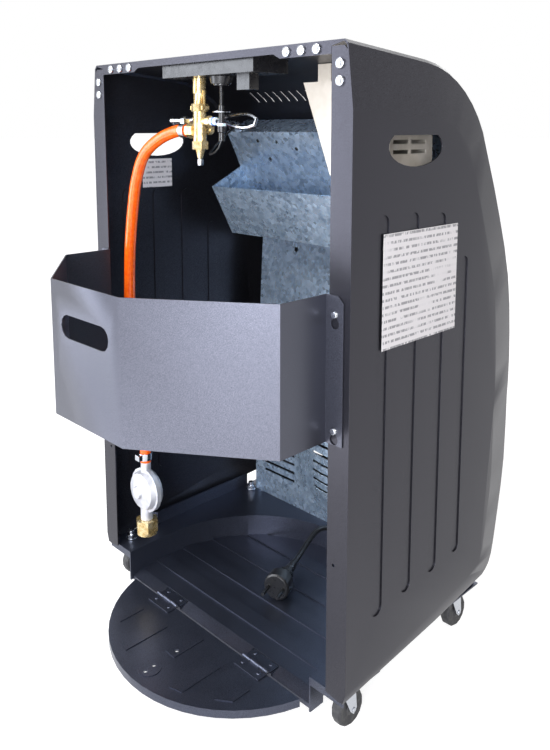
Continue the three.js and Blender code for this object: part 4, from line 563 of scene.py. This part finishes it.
# ---------------------------------------------------------------- hose and lead
HOSE_ROUTE = [
    (54.1, 29, 599), (64, 29, 599), (74, 28.5, 598.8), (101, 23, 590), (130, 20, 571), (148, 20, 541),
    (158, 20, 504), (165, 19, 453), (169, 19, 400), (170, 19, 340), (165, 19, 280), (153, 19, 232),
    (145, 19, 208), (143, 19, 194), (143, 19, 184), (143, 19, 176),
]
HOSE_R = 7
HOSE_STEP = 4
CORD_R = 3.5
CORD_STEP = 3
COIL = {"x": -146, "d": 193, "outer": 39.3, "inner": 32.2, "upper": 61.1, "lower": 53.9}
GLAND_X = COIL["x"] + COIL["outer"]
CORD_START = [(GLAND_X, 243, 64), (GLAND_X, 236, 64), (GLAND_X, 222, 64), (GLAND_X, 213, 63.4), (GLAND_X, 203, 61.8)]
CORD_END = [
    (-120, 232.3, 53.9), (-80, 232, 53.9), (-40, 234, 53.9), (-6, 233, 53.9), (10, 226, 56), (16, 210, 56.5),
    (15, 190, 48), (9, 166, 40.5), (1.61, 145.29, 39),
]
COIL_TURN = 990                 # degrees of winding between the gland and the run to the plug
SHIFT = 68                      # degrees over which the lead passes to the next row


def eased(t):
    t = min(max(t, 0), 1)
    return t * t * (3 - 2 * t)


def coil_points():
    """Two rows in two layers: upper outer, upper inner, lower inner, lower outer."""
    made = []
    for degrees in range(0, COIL_TURN + 1, 10):
        inward = eased((degrees - 256) / SHIFT) - eased((degrees - 846) / SHIFT)
        r = COIL["outer"] - (COIL["outer"] - COIL["inner"]) * inward
        z = COIL["upper"] - (COIL["upper"] - COIL["lower"]) * eased((degrees - 550) / SHIFT)
        turn = math.radians(degrees)
        made.append((COIL["x"] + r * math.cos(turn), COIL["d"] - r * math.sin(turn), z))
    return made


def tie():
    """A twist of black tie round the coil's four strands on its open side."""
    x, d = COIL["x"], COIL["d"]
    middle = (COIL["outer"] + COIL["inner"]) / 2
    half_w = (COIL["outer"] - COIL["inner"]) / 2 + CORD_R + 1
    low, high = COIL["lower"] - CORD_R - 0.1, COIL["upper"] + CORD_R + 0.9
    turn = math.radians(130)
    ring = []
    for k in range(25):
        a = 2 * math.pi * k / 24
        across = max(min(half_w * 1.3 * math.cos(a), half_w), -half_w)
        up = max(min((high - low) / 2 * 1.3 * math.sin(a), (high - low) / 2), -(high - low) / 2)
        r = middle + across
        ring.append(place(x + r * math.cos(turn), d - r * math.sin(turn), (low + high) / 2 + up))
    return line_piece("coil_tie", ring, 0.8, MATERIALS["black"], "cabinet", step=2, sides=3)


def gas_hose():
    route = [place(*point) for point in HOSE_ROUTE]
    hose = line_piece("gas_hose_line", route, HOSE_R, MATERIALS["hose"], "cabinet", HOSE_STEP, sides=8)
    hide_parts("gas_hose")


def mains_lead():
    route = [place(*point) for point in CORD_START + coil_points() + CORD_END]
    lead = line_piece("mains_lead", route, CORD_R, MATERIALS["cord"], "cabinet", CORD_STEP, sides=5)
    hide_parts("mains_cord", "cord_coil", "cord_tail")
    band = tie()


# ---------------------------------------------------------------- stage and light
FLOOR_GLOW = (0.84, 1)          # near the object and far from it
FLOOR_GLOW_REACH = (0.5, 2.4)   # metres from the origin
FLOOR_HALF = 40
WORLD_LIGHT = 0.16


def make_floor():
    """A wide floor that the camera sees as white paper, still darkened by the object's shadow."""
    mesh = bpy.data.meshes.new("floor")
    half = FLOOR_HALF
    mesh.from_pydata([(-half, -half, 0), (half, -half, 0), (half, half, 0), (-half, half, 0)], [], [(0, 1, 2, 3)])
    floor = bpy.data.objects.new("floor", mesh)
    bpy.context.scene.collection.objects.link(floor)
    s = Shader("floor_white", (0.42, 0.41, 0.4), 0.9, 0.0, Specular_IOR_Level=0.1)
    s.rough(s.span(s.noise(3, 2), 0.3, 0.7, 0.85, 0.95))
    glow = s.node("ShaderNodeEmission")
    reach = s.node("ShaderNodeVectorMath", operation="LENGTH")
    s.links.new(s.where(), reach.inputs[0])
    s.links.new(s.span(reach.outputs["Value"], *FLOOR_GLOW_REACH, *FLOOR_GLOW), glow.inputs["Strength"])
    rays = s.node("ShaderNodeLightPath")
    seen = s.node("ShaderNodeAddShader")
    mix = s.node("ShaderNodeMixShader")
    s.links.new(s.bsdf.outputs[0], seen.inputs[0])
    s.links.new(glow.outputs[0], seen.inputs[1])
    s.links.new(seen_directly(s.material.node_tree, rays), mix.inputs[0])
    s.links.new(s.bsdf.outputs[0], mix.inputs[1])
    s.links.new(seen.outputs[0], mix.inputs[2])
    s.links.new(mix.outputs[0], s.nodes["Material Output"].inputs["Surface"])
    mesh.materials.append(s.material)


def seen_directly(tree, rays):
    """1 for camera, mirror and glass rays, which show the background as white; 0 for light."""
    either = rays.outputs["Is Camera Ray"]
    for kind in ("Is Glossy Ray", "Is Transmission Ray"):
        larger = tree.nodes.new("ShaderNodeMath")
        larger.operation = "MAXIMUM"
        tree.links.new(either, larger.inputs[0])
        tree.links.new(rays.outputs[kind], larger.inputs[1])
        either = larger.outputs[0]
    return either


def make_world():
    """White to the camera and in reflections, and a softer grey as light."""
    world = bpy.data.worlds.new("studio")
    bpy.context.scene.world = world
    world.use_nodes = True
    tree = world.node_tree
    tree.nodes.clear()
    out = tree.nodes.new("ShaderNodeOutputWorld")
    seen = tree.nodes.new("ShaderNodeBackground")
    light = tree.nodes.new("ShaderNodeBackground")
    mix = tree.nodes.new("ShaderNodeMixShader")
    rays = tree.nodes.new("ShaderNodeLightPath")
    seen.inputs["Color"].default_value = (1, 1, 1, 1)
    seen.inputs["Strength"].default_value = 1
    light.inputs["Color"].default_value = (0.95, 0.97, 1, 1)
    light.inputs["Strength"].default_value = WORLD_LIGHT
    tree.links.new(seen_directly(tree, rays), mix.inputs[0])
    tree.links.new(light.outputs[0], mix.inputs[1])
    tree.links.new(seen.outputs[0], mix.inputs[2])
    tree.links.new(mix.outputs[0], out.inputs["Surface"])


def make_lamp(name, at, towards, size, power, color):
    data = bpy.data.lights.new(name, "AREA")
    data.shape = "RECTANGLE"
    data.size, data.size_y = size
    data.energy = power
    data.color = color
    lamp = bpy.data.objects.new(name, data)
    bpy.context.scene.collection.objects.link(lamp)
    lamp.location = at
    lamp.rotation_mode = "QUATERNION"
    lamp.rotation_quaternion = (Vector(towards) - Vector(at)).to_track_quat("-Z", "Y")
    lamp.visible_camera = False


MIDDLE = (0, 0.1, 0.35)
LAMPS = [                       # name, place, aimed at, size, watts, colour
    ("key", (-0.95, 1.6, 0.62), (-0.05, 0.15, 0.42), (0.85, 1), 42, (0.9, 0.93, 1)),
    ("window", (1.05, 1.2, 0.66), (0, 0.15, 0.46), (0.8, 1.3), 21, (0.86, 0.91, 1)),
    ("high", (0.4, 1.5, 1.9), MIDDLE, (1.1, 1.1), 44, (0.93, 0.96, 1)),
    ("side_fill", (-2.3, 0.4, 1.9), MIDDLE, (1, 1), 14, (1, 0.98, 0.96)),
    ("bounce_back", (-0.1, 1.0, 0.02), (-0.1, 1.0, 1), (1.3, 0.9), 9, (0.92, 0.94, 1)),
    ("front_fill", (1.2, -2.2, 1.7), MIDDLE, (1.6, 1.6), 24, (1, 1, 1)),
]


def make_lights():
    for row in LAMPS:
        make_lamp(*row)


# ---------------------------------------------------------------- the scene
bpy.context.scene.view_settings.view_transform = "Standard"
dress_frame()
rivet_heads()
sheet_note()
valve_fittings()
hood_details()
plug_details()
gas_hose()
mains_lead()
make_floor()
make_world()
make_lights()
make_camera()
